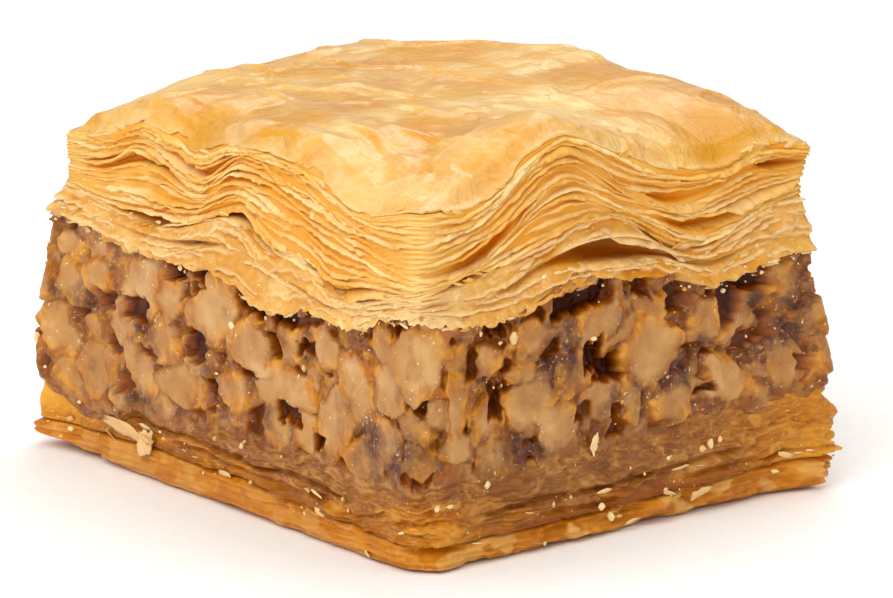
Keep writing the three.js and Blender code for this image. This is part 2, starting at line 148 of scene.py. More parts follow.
MIDDLE_GAP = wave(
    (0, 29.2), (7, 30.0), (15, 31.9), (24.5, 29.9), (31.5, 32.7), (39, 32.0), (51, 29.2),
    (66, 28.3), (78.3, 34.8), (86, 31.5), (97, 28.3), (108, 30.3), (118, 30.8),
    (130, 32.6), (140, 31.0), (150, 32.4), (163, 30.6), (182, 32.0), (192, 30.2),
    (203, 30.8), (213, 29.4),
)
UPPER_GAP = wave(
    (0, 31.4), (10, 32.8), (15, 34.3), (25, 31.9), (32.5, 34.8), (42, 33.7), (52, 31.3),
    (66, 32.0), (78.5, 37.5), (86, 33.8), (94, 31.2), (103.5, 32.9), (115, 32.8),
    (128, 34.8), (137, 34.4), (146, 36.0), (158, 34.6), (172, 33.4), (182, 34.7),
    (190, 33.8), (203, 32.8), (213, 31.6),
)
SKIN_EDGE = wave(
    (0, 32.2), (7, 32.9), (15.5, 35.2), (25, 34.0), (31, 35.6), (42, 35.5), (52, 32.5),
    (60, 33.9), (66, 33.6), (70, 34.7), (74, 37.6), (78.5, 39.0), (83, 37.6), (89, 35.1),
    (94, 33.8), (99, 33.6), (104, 35.0), (111, 34.2), (118, 35.3), (127, 36.3),
    (136, 36.5), (146, 37.4), (156, 36.4), (164, 35.0), (172, 34.3), (180, 35.4),
    (188, 35.8), (196, 35.0), (204, 34.7), (212, 33.4),
)
print("skin's edge is highest at", round(float(SKIN_EDGE(np.arange(ROUND)).max()), 1), "mm")

# %% [markdown]
# ## The outline
#
# Seen from above, the block is a rectangle with nearly sharp corners where it is crisp and
# blunt, spread corners where it is soaked. One function turns a place on the cut side into
# x, y and z, so leaves, nuts and crumbs can all be laid out as if the side were flat paper.


# %% Places on the cut side
def ease(value, low, high):
    """0 below low, 1 above high, and a smooth S between them."""
    t = np.clip((value - low) / (high - low), 0, 1)
    return t * t * (3 - 2 * t)


def side_of(along):
    """The number of the side, and how far along that side, from 0 to 1."""
    along = np.mod(along, ROUND)
    side = np.searchsorted(SIDE_STARTS, along, side="right") - 1
    return side, (along - SIDE_STARTS[side]) / SIDE_LENGTHS[side]


def by_corner(corners, along):
    """A value given at the four corners, carried evenly along the sides."""
    side, t = side_of(along)
    corners = np.asarray(corners, float)
    return corners[side] * (1 - t) + corners[(side + 1) % 4] * t


def spread(u, v, from_corner, height):
    """How far a soaked corner is pushed out: a bell round the corner, less with height."""
    corner = np.where(v < 0, (u > 0) * 1, 3 - (u > 0) * 1)
    fade = 1 - ease(height, SPREAD_FULL_BELOW, SPREAD_NONE_ABOVE)
    return SPREAD_OUT[corner] * fade * np.exp(-((from_corner / SPREAD_REACH) ** 2))


def place(along, inset, height):
    """Points in millimetres: the sharp rectangle, smaller by the inset and drawn in at its
    corners to a radius."""
    along, inset, height = np.broadcast_arrays(along, inset, height)
    side, t = side_of(along)
    square = SQUARE[side] * (1 - t)[..., None] + SQUARE[side + 1] * t[..., None]
    u, v = square[..., 0], square[..., 1]
    half_x = LENGTH / 2 - inset + spread(u, v, (1 - np.abs(v)) * WIDTH / 2, height)
    half_y = WIDTH / 2 - inset + spread(u, v, (1 - np.abs(u)) * LENGTH / 2, height)
    crispness = ease(height, BLUNT_SOFT_BELOW, BLUNT_CRISP_ABOVE)
    radius = by_corner(BLUNT_SOFT, along) * (1 - crispness) + BLUNT_CRISP * crispness
    sharp = np.stack([u * half_x, v * half_y], -1)
    limit = np.stack([half_x - radius, half_y - radius], -1)
    inner = np.clip(sharp, -limit, limit)
    arm = sharp - inner
    arm = arm * (radius / np.maximum(np.hypot(arm[..., 0], arm[..., 1]), 1e-9))[..., None]
    return np.concatenate([inner + arm, height[..., None]], -1)


def sheet(line, x, y, rise=0.0):
    """The height of a whole leaf: a slanted plane through the corners, plus what each side
    adds to it, fading inwards, plus a dome."""
    corner = line(SIDE_STARTS)
    u, v = x / LENGTH + 0.5, y / WIDTH + 0.5
    low = corner[0] * (1 - u) + corner[1] * u
    high = corner[3] * (1 - u) + corner[2] * u
    height = low * (1 - v) + high * v
    inward = (y + WIDTH / 2, LENGTH / 2 - x, WIDTH / 2 - y, x + LENGTH / 2)
    for side, (t, depth) in enumerate(zip((u, v, 1 - u, 1 - v), inward)):
        t = np.clip(t, 0, 1)
        straight = corner[side] * (1 - t) + corner[(side + 1) % 4] * t
        extra = line(SIDE_STARTS[side] + t * SIDE_LENGTHS[side] * NEARLY_ONE) - straight
        height = height + extra * np.exp(-((np.maximum(depth, 0) / SWELL_REACH) ** 2))
    level = [1 - np.minimum(np.abs(2 * part - 1), 1) ** DOME_POWER for part in (u, v)]
    return height + rise * level[0] * level[1]


# %% [markdown]
# ## Chance that repeats
#
# Nothing baked is even, so most shapes here get some noise. The same seed always gives the
# same noise. Random numbers sit on a lattice and are eased between its corners, and round
# the piece the lattice closes on itself, so there is no seam.


# %% Noise
# Large odd numbers without a pattern in their bits: one for the seed, one for each
# coordinate and one for the end.
SEED_FACTOR = 2654435761
CELL_FACTORS = (0x9E3779B1, 0x85EBCA77, 0xC2B2AE3D)
LAST_FACTOR = np.uint32(0x2C1B3C6D)
HALF_SHIFT, LAST_SHIFT = np.uint32(15), np.uint32(12)


def scatter(seed, *cells):
    """A repeatable number from 0 to 1 for each whole-numbered cell: its coordinates are
    multiplied by large odd numbers and their bits mixed."""
    shape = np.broadcast(*cells).shape
    mixed = np.full(shape, (seed * SEED_FACTOR) % 2**32, np.uint32)
    for cell, factor in zip(cells, CELL_FACTORS):
        mixed = (mixed ^ cell.astype(np.int64).astype(np.uint32)) * np.uint32(factor)
        mixed = mixed ^ (mixed >> HALF_SHIFT)
    mixed = mixed * LAST_FACTOR
    mixed = mixed ^ (mixed >> LAST_SHIFT)
    return mixed / 2.0**32


def noise(seed, *places, wrap=None):
    """Smooth noise from -1 to 1 with swells one unit wide. With wrap it closes on itself
    along the first coordinate."""
    places = np.broadcast_arrays(*places)
    low = [np.floor(p) for p in places]
    part = [p - cell for p, cell in zip(places, low)]
    part = [t**3 * (t * (t * 6 - 15) + 10) for t in part]
    total = 0.0
    for corner in itertools.product((0, 1), repeat=len(places)):
        cells = [cell + step for cell, step in zip(low, corner)]
        if wrap:
            cells[0] = np.mod(cells[0], wrap)
        weight = 1.0
        for step, t in zip(corner, part):
            weight = weight * (t if step else 1 - t)
        total = total + weight * scatter(seed, *cells)
    return 2 * total - 1


def round_noise(seed, width, along, *others):
    """Noise round the piece with swells this many millimetres wide."""
    cells = max(1, round(ROUND / width))
    return noise(seed, np.mod(along, ROUND) * cells / ROUND, *others, wrap=cells)


def rough(along, height, *layers):
    """The sum of several noises on a side. Each layer is a seed, a strength, the width of
    its swells round the piece and their height, in millimetres."""
    total = 0.0
    for seed, strength, width, tall in layers:
        total = total + strength * round_noise(seed, width, along, height / tall)
    return total


def ragged(along, *layers):
    """The same for a line round the piece. Each layer is a seed, a strength and a width."""
    total = 0.0
    for seed, strength, width in layers:
        total = total + strength * round_noise(seed, width, along)
    return total


def bell(away, width):
    """1 in the middle, falling smoothly to nearly nothing over this width."""
    return np.exp(-((2 * away / width) ** 2))


def away_from(along, centre):
    """The distance round the piece from a centre, the short way."""
    return np.mod(along - centre + ROUND / 2, ROUND) - ROUND / 2


# %% [markdown]
# ## Broken pieces on a flat
#
# What breaks or tears has angular outlines. Middles are scattered, and every place belongs
# to the nearest one. The second nearest says how close the border is.


# %% Fragments
# A middle keeps off the borders of its cell by a tenth of the cell, and each row's labels
# lie further apart than there are rows.
CELL_MARGIN = 0.1
LABEL_STEP = 997


def fragments(seed, size, along, height):
    """For each place the nearest and second nearest of middles scattered one to a cell:
    their labels, the way from each in millimetres, and how much nearer the first is."""
    cells = round(ROUND / size)
    x, y = along * cells / ROUND, height / size
    steps = np.array(list(itertools.product((-1, 0, 1), repeat=2)))
    right, up = steps.T[:, :, None, None]
    column, row = np.floor(x) + right, np.floor(y) + up
    label = np.mod(column, cells) * LABEL_STEP + row
    room = 1 - 2 * CELL_MARGIN
    across = x - column - CELL_MARGIN - room * scatter(seed, label)
    upward = y - row - CELL_MARGIN - room * scatter(seed + 1, label)
    away = np.hypot(across, upward)
    order = np.argsort(away, axis=0)[:2]
    label, across, upward, away = (
        np.take_along_axis(kept, order, 0) for kept in (label, across, upward, away))
    return label, across * size, upward * size, (away[1] - away[0]) * size


def joined(pair, gap, soft):
    """The first of two values, blended evenly with the second where the gap closes."""
    share = 0.5 * (1 - ease(gap, 0, soft))
    return pair[0] * (1 - share) + pair[1] * share


# %% [markdown]
# ## From numbers to a mesh
#
# Each piece is a grid of points. A grid that closes on itself round the block makes a ring
# or a side wall, and rings that shrink to a middle point close it above and below.


# %% Meshes
def grid_faces(rows, columns, ring_rows=False):
    """Four-cornered faces of a grid whose columns close round, and its rows if asked."""
    down = np.arange(rows if ring_rows else rows - 1)
    across = np.arange(columns)
    low, left = np.meshgrid(down, across, indexing="ij")
    high, right = (low + 1) % rows, (left + 1) % columns
    corners = [low * columns + left, low * columns + right,
               high * columns + right, high * columns + left]
    return np.stack(corners, -1).reshape(-1, 4)


def volume_of(points, faces):
    """Six times the signed volume that the faces close in."""
    total = 0.0
    for corners in faces:
        a = points[corners[:, 0]]
        for i in range(1, corners.shape[1] - 1):
            b, c = points[corners[:, i]], points[corners[:, i + 1]]
            total += np.einsum("ij,ij->", a, np.cross(b, c))
    return total


def make_piece(name, points, faces, finish, slot, smooth=True, **values):
    """An object in metres with its faces outwards, its finish and numbers on its points."""
    if volume_of(points, faces) < 0:
        faces = [corners[:, ::-1] for corners in faces]
    sizes = np.concatenate([np.full(len(corners), corners.shape[1]) for corners in faces])
    starts = np.concatenate([[0], np.cumsum(sizes)[:-1]])
    mesh = bpy.data.meshes.new(name)
    mesh.vertices.add(len(points))
    mesh.vertices.foreach_set("co", (points * MM).astype(np.float32).ravel())
    mesh.loops.add(int(sizes.sum()))
    loops = np.concatenate([corners.ravel() for corners in faces]).astype(np.int32)
    mesh.loops.foreach_set("vertex_index", loops)
    mesh.polygons.add(len(sizes))
    mesh.polygons.foreach_set("loop_start", starts.astype(np.int32))
    mesh.polygons.foreach_set("use_smooth", np.full(len(sizes), smooth))
    mesh.update(calc_edges=True)
    for key, numbers in values.items():
        attribute = mesh.attributes.new(key, "FLOAT", "POINT")
        attribute.data.foreach_set("value", np.asarray(numbers, np.float32).ravel())
    mesh.materials.append(finish)
    piece = bpy.data.objects.new(name, mesh)
    bpy.context.scene.collection.objects.link(piece)
    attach(piece, "root")
    print(f"{name}: {int((sizes - 2).sum())} triangles")
    return piece


# The shares of the full size at which a closed body's lids have their rings.
SHARES = (0.9, 0.75, 0.5, 0.25)


def closed_body(rows, under, over):
    """A side wall given as rows of points from low to high, closed above and below by
    rings that shrink by each share to a middle point. under and over give the height of
    those rings at x and y. Also returned is the number of the wall's first point."""
    count = rows.shape[1]
    below, above = [], []
    for share in SHARES:
        for kept, row, height in ((below, rows[0], under), (above, rows[-1], over)):
            ring = row.copy()
            ring[:, :2] *= share
            ring[:, 2] = height(ring[:, 0], ring[:, 1])
            kept.append(ring)
    middle = np.zeros((2, 3))
    middle[0, 2] = under(np.zeros(1), np.zeros(1))[0]
    middle[1, 2] = over(np.zeros(1), np.zeros(1))[0]
    rings = np.concatenate([np.array(below)[::-1], rows, np.array(above)])
    points = np.concatenate([rings.reshape(-1, 3), middle])
    across = np.arange(count)
    last = (len(rings) - 1) * count
    floor = np.stack([across, np.full(count, len(points) - 2), (across + 1) % count], -1)
    roof = np.stack([last + across, last + (across + 1) % count,
                     np.full(count, len(points) - 1)], -1)
    faces = [grid_faces(len(rings), count), floor, roof]
    return points, faces, len(below) * count


def make_closed(name, rows, under, over, finish, slot, **wall_values):
    """A closed body as a piece: its wall carries the numbers, and its lids carry 0."""
    points, faces, first = closed_body(rows, under, over)
    values = {}
    for key, numbers in wall_values.items():
        values[key] = np.zeros(len(points))
        values[key][first:first + numbers.size] = numbers.ravel()
    return make_piece(name, points, faces, finish, slot, **values)


# Rings have a station this often, in millimetres round the piece.
STATION = 0.2
ALONG = np.arange(round(ROUND / STATION)) * STATION
print(len(ALONG), "stations round the piece")

# %% [markdown]
# ## Colours and nodes
#
# Colours are written as on a screen, as hex codes, and one function turns them into the
# linear numbers that the shader needs. One function adds a node with its settings, links
# and ramp. Patterns read Object coordinates, so their scale comes from real sizes.


# %% Colour and node helpers
def colour(code):
    """Linear red, green, blue and alpha of an sRGB hex colour."""
    screen = np.array([int(code[i:i + 2], 16) for i in (1, 3, 5)]) / 255
    low, high = screen / 12.92, ((screen + 0.055) / 1.055) ** 2.4
    return (*np.where(screen <= 0.04045, low, high).tolist(), 1.0)


def add(tree, kind, sockets=None, stops=None, **settings):
    """Adds a node: its settings, the value or link of each socket, and its ramp's stops."""
    node = tree.nodes.new(kind)
    for key, value in settings.items():
        setattr(node, key, value)
    for key, value in (sockets or {}).items():
        if isinstance(value, bpy.types.NodeSocket):
            tree.links.new(value, node.inputs[key])
        else:
            node.inputs[key].default_value = value
    if stops:
        band = node.color_ramp.elements
        band.remove(band[1])
        band[0].position, band[0].color = stops[0][0], colour(stops[0][1])
        for position, code in stops[1:]:
            band.new(position).color = colour(code)
    return node


def per_mm(size):
    """The scale of a texture whose features are this many millimetres wide."""
    return 1 / (size * MM)


def new_finish(name, **sockets):
    """A material with one Principled shader. Keywords are its sockets' names, with _ for
    a space."""
    material = bpy.data.materials.new(name)
    material.use_nodes = True
    tree = material.node_tree
    tree.nodes.clear()
    values = {key.replace("_", " "): value for key, value in sockets.items()}
    shader = add(tree, "ShaderNodeBsdfPrincipled", values)
    add(tree, "ShaderNodeOutputMaterial", {"Surface": shader.outputs[0]})
    where = add(tree, "ShaderNodeTexCoord").outputs["Object"]
    return material, tree, shader, where


def read(tree, key):
    """The number that a mesh carries on its points under this name."""
    return add(tree, "ShaderNodeAttribute", attribute_name=key).outputs["Fac"]


def cloud(tree, where, size, detail=3.0, stretch=(1, 1, 1), roughness=0.55, twist=0.0):
    """Noise with features of a size in millimetres, stretched along an axis or twisted."""
    if stretch != (1, 1, 1):
        where = add(tree, "ShaderNodeMapping", {"Vector": where, "Scale": stretch}).outputs[0]
    return add(tree, "ShaderNodeTexNoise", {
        "Vector": where, "Scale": per_mm(size), "Detail": detail, "Roughness": roughness,
        "Distortion": twist,
    }).outputs["Fac"]


def blend(tree, amount, first, second):
    """One colour over another by an amount. A colour may be a hex code or a link."""
    sides = [colour(c) if isinstance(c, str) else c for c in (first, second)]
    mixed = add(tree, "ShaderNodeMix", {0: amount, 6: sides[0], 7: sides[1]},
                data_type="RGBA")
    return mixed.outputs[2]


def ramp(tree, amount, *stops):
    """A number turned to a colour or a grey by a ramp."""
    return add(tree, "ShaderNodeValToRGB", {"Fac": amount}, stops=stops).outputs["Color"]


def sums(tree, operation, first, second, third=0.0):
    """One step of arithmetic on two or three numbers or links."""
    return add(tree, "ShaderNodeMath", {0: first, 1: second, 2: third},
               operation=operation).outputs[0]


def between(tree, amount, low, high):
    """0 below low, 1 above high and even between them."""
    return add(tree, "ShaderNodeMapRange", {
        "Value": amount, "From Min": low, "From Max": high,
    }).outputs["Result"]


def tint(tree, base, code, amount, low=None, high=None, share=1.0):
    """A colour laid over a base by an amount. With low and high it starts at one and is
    full at the other, and a share says how much it covers at its fullest."""
    if low is not None:
        amount = between(tree, amount, low, high)
    if share != 1.0:
        amount = sums(tree, "MULTIPLY", amount, share)
    return blend(tree, amount, base, code)


def relief(tree, shader, height, depth):
    """Bump of a depth in millimetres on a shader."""
    bump = add(tree, "ShaderNodeBump", {"Height": height, "Distance": depth * MM,
                                        "Strength": 1.0})
    tree.links.new(bump.outputs[0], shader.inputs["Normal"])


# %% [markdown]
# ## Pastry finishes
#
# Phyllo is flour and water rolled thinner than paper and brushed with butter. Baked, it is
# brittle, cream at a broken edge and golden to amber where butter and syrup soak in. Light
# passes through it, so every pastry finish has some subsurface scattering.

# %% Crisp leaves of the upper stack
# Light spreads about as far as a leaf is thick, nearly alike in all colours, as in paper.
PHYLLO = {
    "IOR": 1.45, "Subsurface_Radius": (1.0, 0.92, 0.8), "Subsurface_Scale": 0.35 * MM,
    "Coat_IOR": 1.48, "Specular_IOR_Level": 0.25,
}

# A baked leaf: golden on its face, paler where it is cut, amber where it is shaded.
crisp_leaf, tree, shader, where = new_finish(
    "baked_phyllo_leaf", Roughness=0.5, Subsurface_Weight=0.2, Coat_Weight=0.04,
    Coat_Roughness=0.25, **PHYLLO)
edge = read(tree, "edge")
tone = read(tree, "tone")
blotch = cloud(tree, where, 5.0, detail=2.0)
fine = cloud(tree, where, 0.5, detail=3.0)
face = ramp(tree, blotch, (0.3, "#E0A02E"), (0.5, "#E6AE48"), (0.7, "#EEBE6C"))
cut = ramp(tree, fine, (0.3, "#DEA244"), (0.55, "#E8B664"), (0.8, "#F2CC8A"))
leafy = blend(tree, edge, face, cut)
leafy = tint(tree, leafy, "#F4D090", tone, 0.3, 0.0)
leafy = tint(tree, leafy, "#E2920E", tone, 0.45, 0.95)
tree.links.new(leafy, shader.inputs["Base Color"])
relief(tree, shader, fine, 0.05)

# %% Soaked leaves that lie on the nuts
# Wet through with syrup: mottled, streaked along the leaf, and amber, deeper under its steps and in
# deep gaps as painted shade.
wet_leaf, tree, shader, where = new_finish(
    "syrup_soaked_phyllo", Roughness=0.32, Subsurface_Weight=0.3, Coat_Roughness=0.15,
    **PHYLLO)
amber = read(tree, "amber")
blotch = cloud(tree, where, 3.5, detail=3.0)
streak = cloud(tree, where, 0.7, detail=4.0, stretch=(0.5, 0.5, 1.4), twist=1.0)
mottle = cloud(tree, where, 1.3, detail=5.0, roughness=0.65, twist=1.5)
fleck = cloud(tree, where, 0.32, detail=1.0)
leafy = ramp(tree, blotch, (0.3, "#D29636"), (0.5, "#E2AC52"), (0.72, "#F0C87E"))
leafy = tint(tree, leafy, "#F6DAA0", streak, 0.5, 0.75, share=0.5)
leafy = tint(tree, leafy, "#C48A34", mottle, 0.46, 0.36, share=0.3)
leafy = tint(tree, leafy, "#F8E0B0", mottle, 0.54, 0.62, share=0.35)
leafy = tint(tree, leafy, "#CC860C", amber, 0.0, 0.8)
leafy = tint(tree, leafy, "#C07000", amber, 0.7, 1.0)
leafy = tint(tree, leafy, "#F8E0B4", read(tree, "edge"))
leafy = tint(tree, leafy, "#FFF4DC", fleck, 0.72, 0.8)
tree.links.new(leafy, shader.inputs["Base Color"])
glaze = sums(tree, "MULTIPLY_ADD", amber, -0.25, 0.25)
tree.links.new(glaze, shader.inputs["Coat Weight"])
relief(tree, shader, mottle, 0.1)

# %% Baked skin
# The top leaf under a glaze of syrup: gold, amber where it is thin, and cream on its
# blisters and creases, partly their own colour and partly painted sheen on raised places.
skin_finish, tree, shader, where = new_finish(
    "glazed_golden_skin", Roughness=0.4, Subsurface_Weight=0.25, Coat_Roughness=0.14,
    **PHYLLO)
amber = read(tree, "amber")
broad = cloud(tree, where, 14.0, detail=3.0)
patch = cloud(tree, where, 5.0, detail=5.0, roughness=0.6, twist=0.6)
fibre = cloud(tree, where, 0.9, detail=4.0, stretch=(0.35, 1.3, 1.0))
golden = ramp(tree, broad, (0.34, "#CC8A0C"), (0.5, "#E0A42C"), (0.66, "#ECC470"))
golden = tint(tree, golden, "#D68A08", patch, 0.52, 0.62, share=0.8)
golden = tint(tree, golden, "#EECC90", patch, 0.46, 0.34, share=0.5)
golden = tint(tree, golden, "#EFC27A", read(tree, "flake"), share=0.5)
golden = tint(tree, golden, "#EEC488", read(tree, "blister"), share=0.35)
golden = tint(tree, golden, "#F6D49C", fibre, 0.5, 0.8, share=0.4)
golden = tint(tree, golden, "#EEC684", read(tree, "edge"), share=0.4)
golden = tint(tree, golden, "#CC8C00", amber, share=0.9)
tree.links.new(golden, shader.inputs["Base Color"])
glaze = sums(tree, "MULTIPLY_ADD", amber, -0.35, 0.5)
tree.links.new(glaze, shader.inputs["Coat Weight"])
wrinkle = sums(tree, "MULTIPLY_ADD", fibre, 0.25, patch)
relief(tree, shader, wrinkle, 0.9)

# %% [markdown]
# ## Filling finish
#
# A fresh cut through a walnut is smooth, pale and a little greasy. Its skin is thin, brown
# and bitter, and glows amber where light comes through. Between the pieces lies a paste of
# ground nut, syrup and crumbs, stained violet by the skins, and its hollows are painted
# nearly black as shade. The filling is one relief, so one finish takes all of this from
# numbers on its points: flesh, tone, rim, mauve, pressed and dark, the painted shade.


# %% Leaves pressed into one another
def pressed_brown(tree, where):
    """Taupe with swirled streaks and lumps, and the noise of the streaks and of the
    lumps."""
    streak = cloud(tree, where, 0.9, detail=4.0, stretch=(0.45, 0.45, 1.5), twist=1.6)
    lump = cloud(tree, where, 2.6, detail=4.0, stretch=(0.7, 0.7, 1.2), twist=1.4)
    brown = ramp(tree, streak, (0.3, "#743E0C"), (0.5, "#90561C"), (0.72, "#B07A36"))
    brown = tint(tree, brown, "#7A4010", lump, 0.52, 0.6, share=0.75)
    brown = tint(tree, brown, "#C08A46", lump, 0.46, 0.38, share=0.65)
    return brown, streak, lump


# %% Walnuts in their paste
# From the bottom up: paste and its stains, flesh, the walnut's skin, pressed leaves near
# the base, pale specks painted as glints of syrup, and the painted shade of the hollows.
walnut, tree, shader, where = new_finish(
    "cut_walnut_and_paste", IOR=1.46, Roughness=0.36, Subsurface_Weight=0.15,
    Subsurface_Scale=0.5 * MM, Subsurface_Radius=(1.0, 0.8, 0.65), Coat_Roughness=0.1,
    Specular_IOR_Level=0.18)
dark = read(tree, "dark")
grit = cloud(tree, where, 0.45, detail=4.0)
lump = cloud(tree, where, 1.6, detail=4.0, twist=0.6)
painted_glints = cloud(tree, where, 0.4, detail=1.0)
broad = cloud(tree, where, 4.0, detail=2.0)
pale = ramp(tree, broad, (0.32, "#AC7840"), (0.5, "#BE8E50"), (0.68, "#D2A66C"))
brown = ramp(tree, lump, (0.3, "#84460C"), (0.5, "#A0601A"), (0.7, "#BC8238"))
inside = blend(tree, read(tree, "tone"), pale, brown)
pasty = ramp(tree, lump, (0.3, "#582604"), (0.5, "#7C4410"), (0.7, "#A66C28"))
pasty = tint(tree, pasty, "#AC6008", broad, 0.56, 0.66)
stained = ramp(tree, lump, (0.3, "#2C0C06"), (0.5, "#50220F"), (0.72, "#7C4A30"))
pasty = tint(tree, pasty, stained, read(tree, "mauve"), 0.0, 0.75)
pasty = tint(tree, pasty, "#CC9850", grit, 0.6, 0.72)
shaken = sums(tree, "MULTIPLY_ADD", sums(tree, "SUBTRACT", grit, 0.5), 0.5,
              read(tree, "flesh"))
nutty = tint(tree, pasty, inside, shaken, 0.1, 0.8)
husk = ramp(tree, lump, (0.35, "#9A5202"), (0.5, "#C07808"), (0.65, "#D8982C"))
nutty = tint(tree, nutty, husk, read(tree, "rim"), share=0.85)
nutty = tint(tree, nutty, pressed_brown(tree, where)[0], read(tree, "pressed"))
# Painted highlight: pale specks stand for glints of syrup.
nutty = tint(tree, nutty, "#F2DAA8", painted_glints, 0.72, 0.8)
shade = sums(tree, "MULTIPLY_ADD", sums(tree, "SUBTRACT", lump, 0.5), 0.6, dark)
shade = sums(tree, "MINIMUM", shade, sums(tree, "MULTIPLY", dark, 3.0))
nutty = tint(tree, nutty, "#8A4402", shade, 0.0, 0.3)
nutty = tint(tree, nutty, "#401400", shade, 0.25, 0.75)
tree.links.new(nutty, shader.inputs["Base Color"])
wet = sums(tree, "MULTIPLY", between(tree, dark, 0.8, 0.2), 0.3)
tree.links.new(wet, shader.inputs["Coat Weight"])
relief(tree, shader, grit, 0.05)

# %% [markdown]
# ## Base finishes
#
# The lowest leaves carry the weight and drink the syrup. Their upper part turns mauve
# brown under the nuts, their lower part is amber, painted darker by the slit and in the
# grooves as shade, and the lowest leaves against the tin bake to a crust.

# %% Soaked base
soaked_base, tree, shader, where = new_finish(
    "pressed_soaked_phyllo", Roughness=0.36, Subsurface_Weight=0.3, Coat_Weight=0.12,
    Coat_Roughness=0.12, **PHYLLO)
brown, streak, lump = pressed_brown(tree, where)
fleck = cloud(tree, where, 0.35, detail=2.0)
amber = ramp(tree, streak, (0.3, "#A85C00"), (0.5, "#C07602"), (0.7, "#D89214"))
amber = tint(tree, amber, "#DC9E30", lump, 0.45, 0.36, share=0.6)
soaked = tint(tree, amber, brown, read(tree, "stain"))
soaked = tint(tree, soaked, "#C89048", read(tree, "edge"), share=0.25)
# Painted shade: darker amber by the slit and in the grooves.
soaked = tint(tree, soaked, "#844000", read(tree, "slit_and_groove_shade"))
soaked = tint(tree, soaked, "#E8A42C", read(tree, "bright"))
soaked = tint(tree, soaked, "#E8C48A", fleck, 0.68, 0.76)
tree.links.new(soaked, shader.inputs["Base Color"])
relief(tree, shader, lump, 0.3)

# %% Crust
crust, tree, shader, where = new_finish(
    "baked_bottom_crust", Roughness=0.36, Subsurface_Weight=0.3, Coat_Weight=0.1,
    Coat_Roughness=0.12, **PHYLLO)
streak = cloud(tree, where, 1.0, detail=5.0, stretch=(0.35, 0.35, 1.4), twist=1.0)
lump = cloud(tree, where, 3.0, detail=4.0, twist=0.8)
peach = ramp(tree, streak, (0.3, "#B06400"), (0.5, "#C47808"), (0.72, "#D49028"))
peach = tint(tree, peach, "#B86C06", lump, 0.5, 0.6, share=0.6)
peach = tint(tree, peach, "#D29434", lump, 0.44, 0.36, share=0.6)
peach = tint(tree, peach, "#DCA858", read(tree, "edge"), share=0.85)
tree.links.new(peach, shader.inputs["Base Color"])
relief(tree, shader, streak, 0.14)

# %% Crumbs
crumb, tree, shader, where = new_finish(
    "pastry_crumb", Roughness=0.5, Subsurface_Weight=0.2, **PHYLLO)
baked = ramp(tree, read(tree, "tone"), (0.0, "#F3D7A2"), (0.55, "#DDA863"), (1.0, "#8A4E1C"))
tree.links.new(baked, shader.inputs["Base Color"])
relief(tree, shader, cloud(tree, where, 0.25), 0.05)
print(len(bpy.data.materials), "finishes")

# %% [markdown]
# ## The skin
#
# The top leaves bake into one domed skin. Steam lifts blisters in it, it wrinkles between
# them, and here and there a flake of the top leaf has gone. It could be sculpted, but a
# grid bent to the dome by one function keeps it on the leaves below: near its rim it comes
# down to sit on them, and the rim is frayed and torn where the knife ran. Solidify gives
# it the thickness of two leaves stuck together.

# %% Skin
SKIN_COLUMNS, SKIN_ROWS = 245, 201
SKIN_THICKNESS = 0.22
SKIN_BACK = 0.15
SKIN_FLAKE = 7.0
# From this share of the way out the skin comes down to the leaves under it.
SEAT_FROM = 0.92
# The part of the top that has lost most flakes: its middle and its reach, x and y.
FLAKED_MIDDLE, FLAKED_REACH = (18, -17), (17, 12)
# How far each feature rises, in millimetres: wide swells, blisters, creases, dry spots,
# grain, the step of a flake, how much more it is where most are lost, and lumps there.
SWELL, BLISTER, CREASE, DRY_SPOT, GRAIN = 0.3, 0.2, 0.22, 0.3, 0.05
FLAKE_STEP, MORE_STEP, LUMPS = 0.08, 0.3, 0.15
# How far an amber spot sinks.
THIN_SPOT = 0.15
# Spots on the skin: x, y, reach, and how strong. In amber ones the top leaf is thin and
# soaked, and pale ones are raised dry blisters, partly painted highlights.
AMBER_SPOTS = np.array([
    (27.1, 14.0, 5.5, 1.0), (12.3, -10.4, 3.0, 0.9), (3.8, -17.4, 3.2, 0.8),
    (-5.2, -21.4, 3.0, 0.7), (19.6, 8.0, 3.0, 0.5), (10.0, 14.0, 5.0, 0.3),
    (-18.0, -8.0, 6.0, 0.4), (-12.0, 12.0, 6.0, 0.5), (4.0, 3.0, 4.0, 0.4),
])
PALE_SPOTS = np.array([
    (1.8, -21.8, 2.4, 0.9), (15.7, -21.7, 3.4, 1.0), (21.5, -20.6, 3.0, 1.0),
    (26.1, -19.2, 3.2, 0.9), (23.1, 6.5, 4.0, 0.8), (29.0, 5.0, 4.0, 0.7),
    (10.1, -1.4, 4.0, 0.6), (18.5, 1.5, 5.0, 0.5), (26.2, -6.1, 4.5, 0.8),
    (-13.0, -22.4, 4.0, 0.6), (-22.0, 5.0, 6.0, 0.6), (-4.0, 19.0, 6.0, 0.6),
])


def spots(places, x, y):
    """The strongest of several bells, whose shapes are shaken by noise."""
    x = x + 1.6 * noise(24, x / 3.0, y / 3.0) + 0.5 * noise(25, x / 0.9, y / 0.9)
    y = y + 1.6 * noise(26, x / 3.0, y / 3.0) + 0.5 * noise(27, x / 0.9, y / 0.9)
    found = np.zeros(x.shape)
    for centre_x, centre_y, reach, amount in places:
        near = np.exp(-((np.hypot(x - centre_x, y - centre_y) / reach) ** 4))
        found = np.maximum(found, amount * near)
    return found


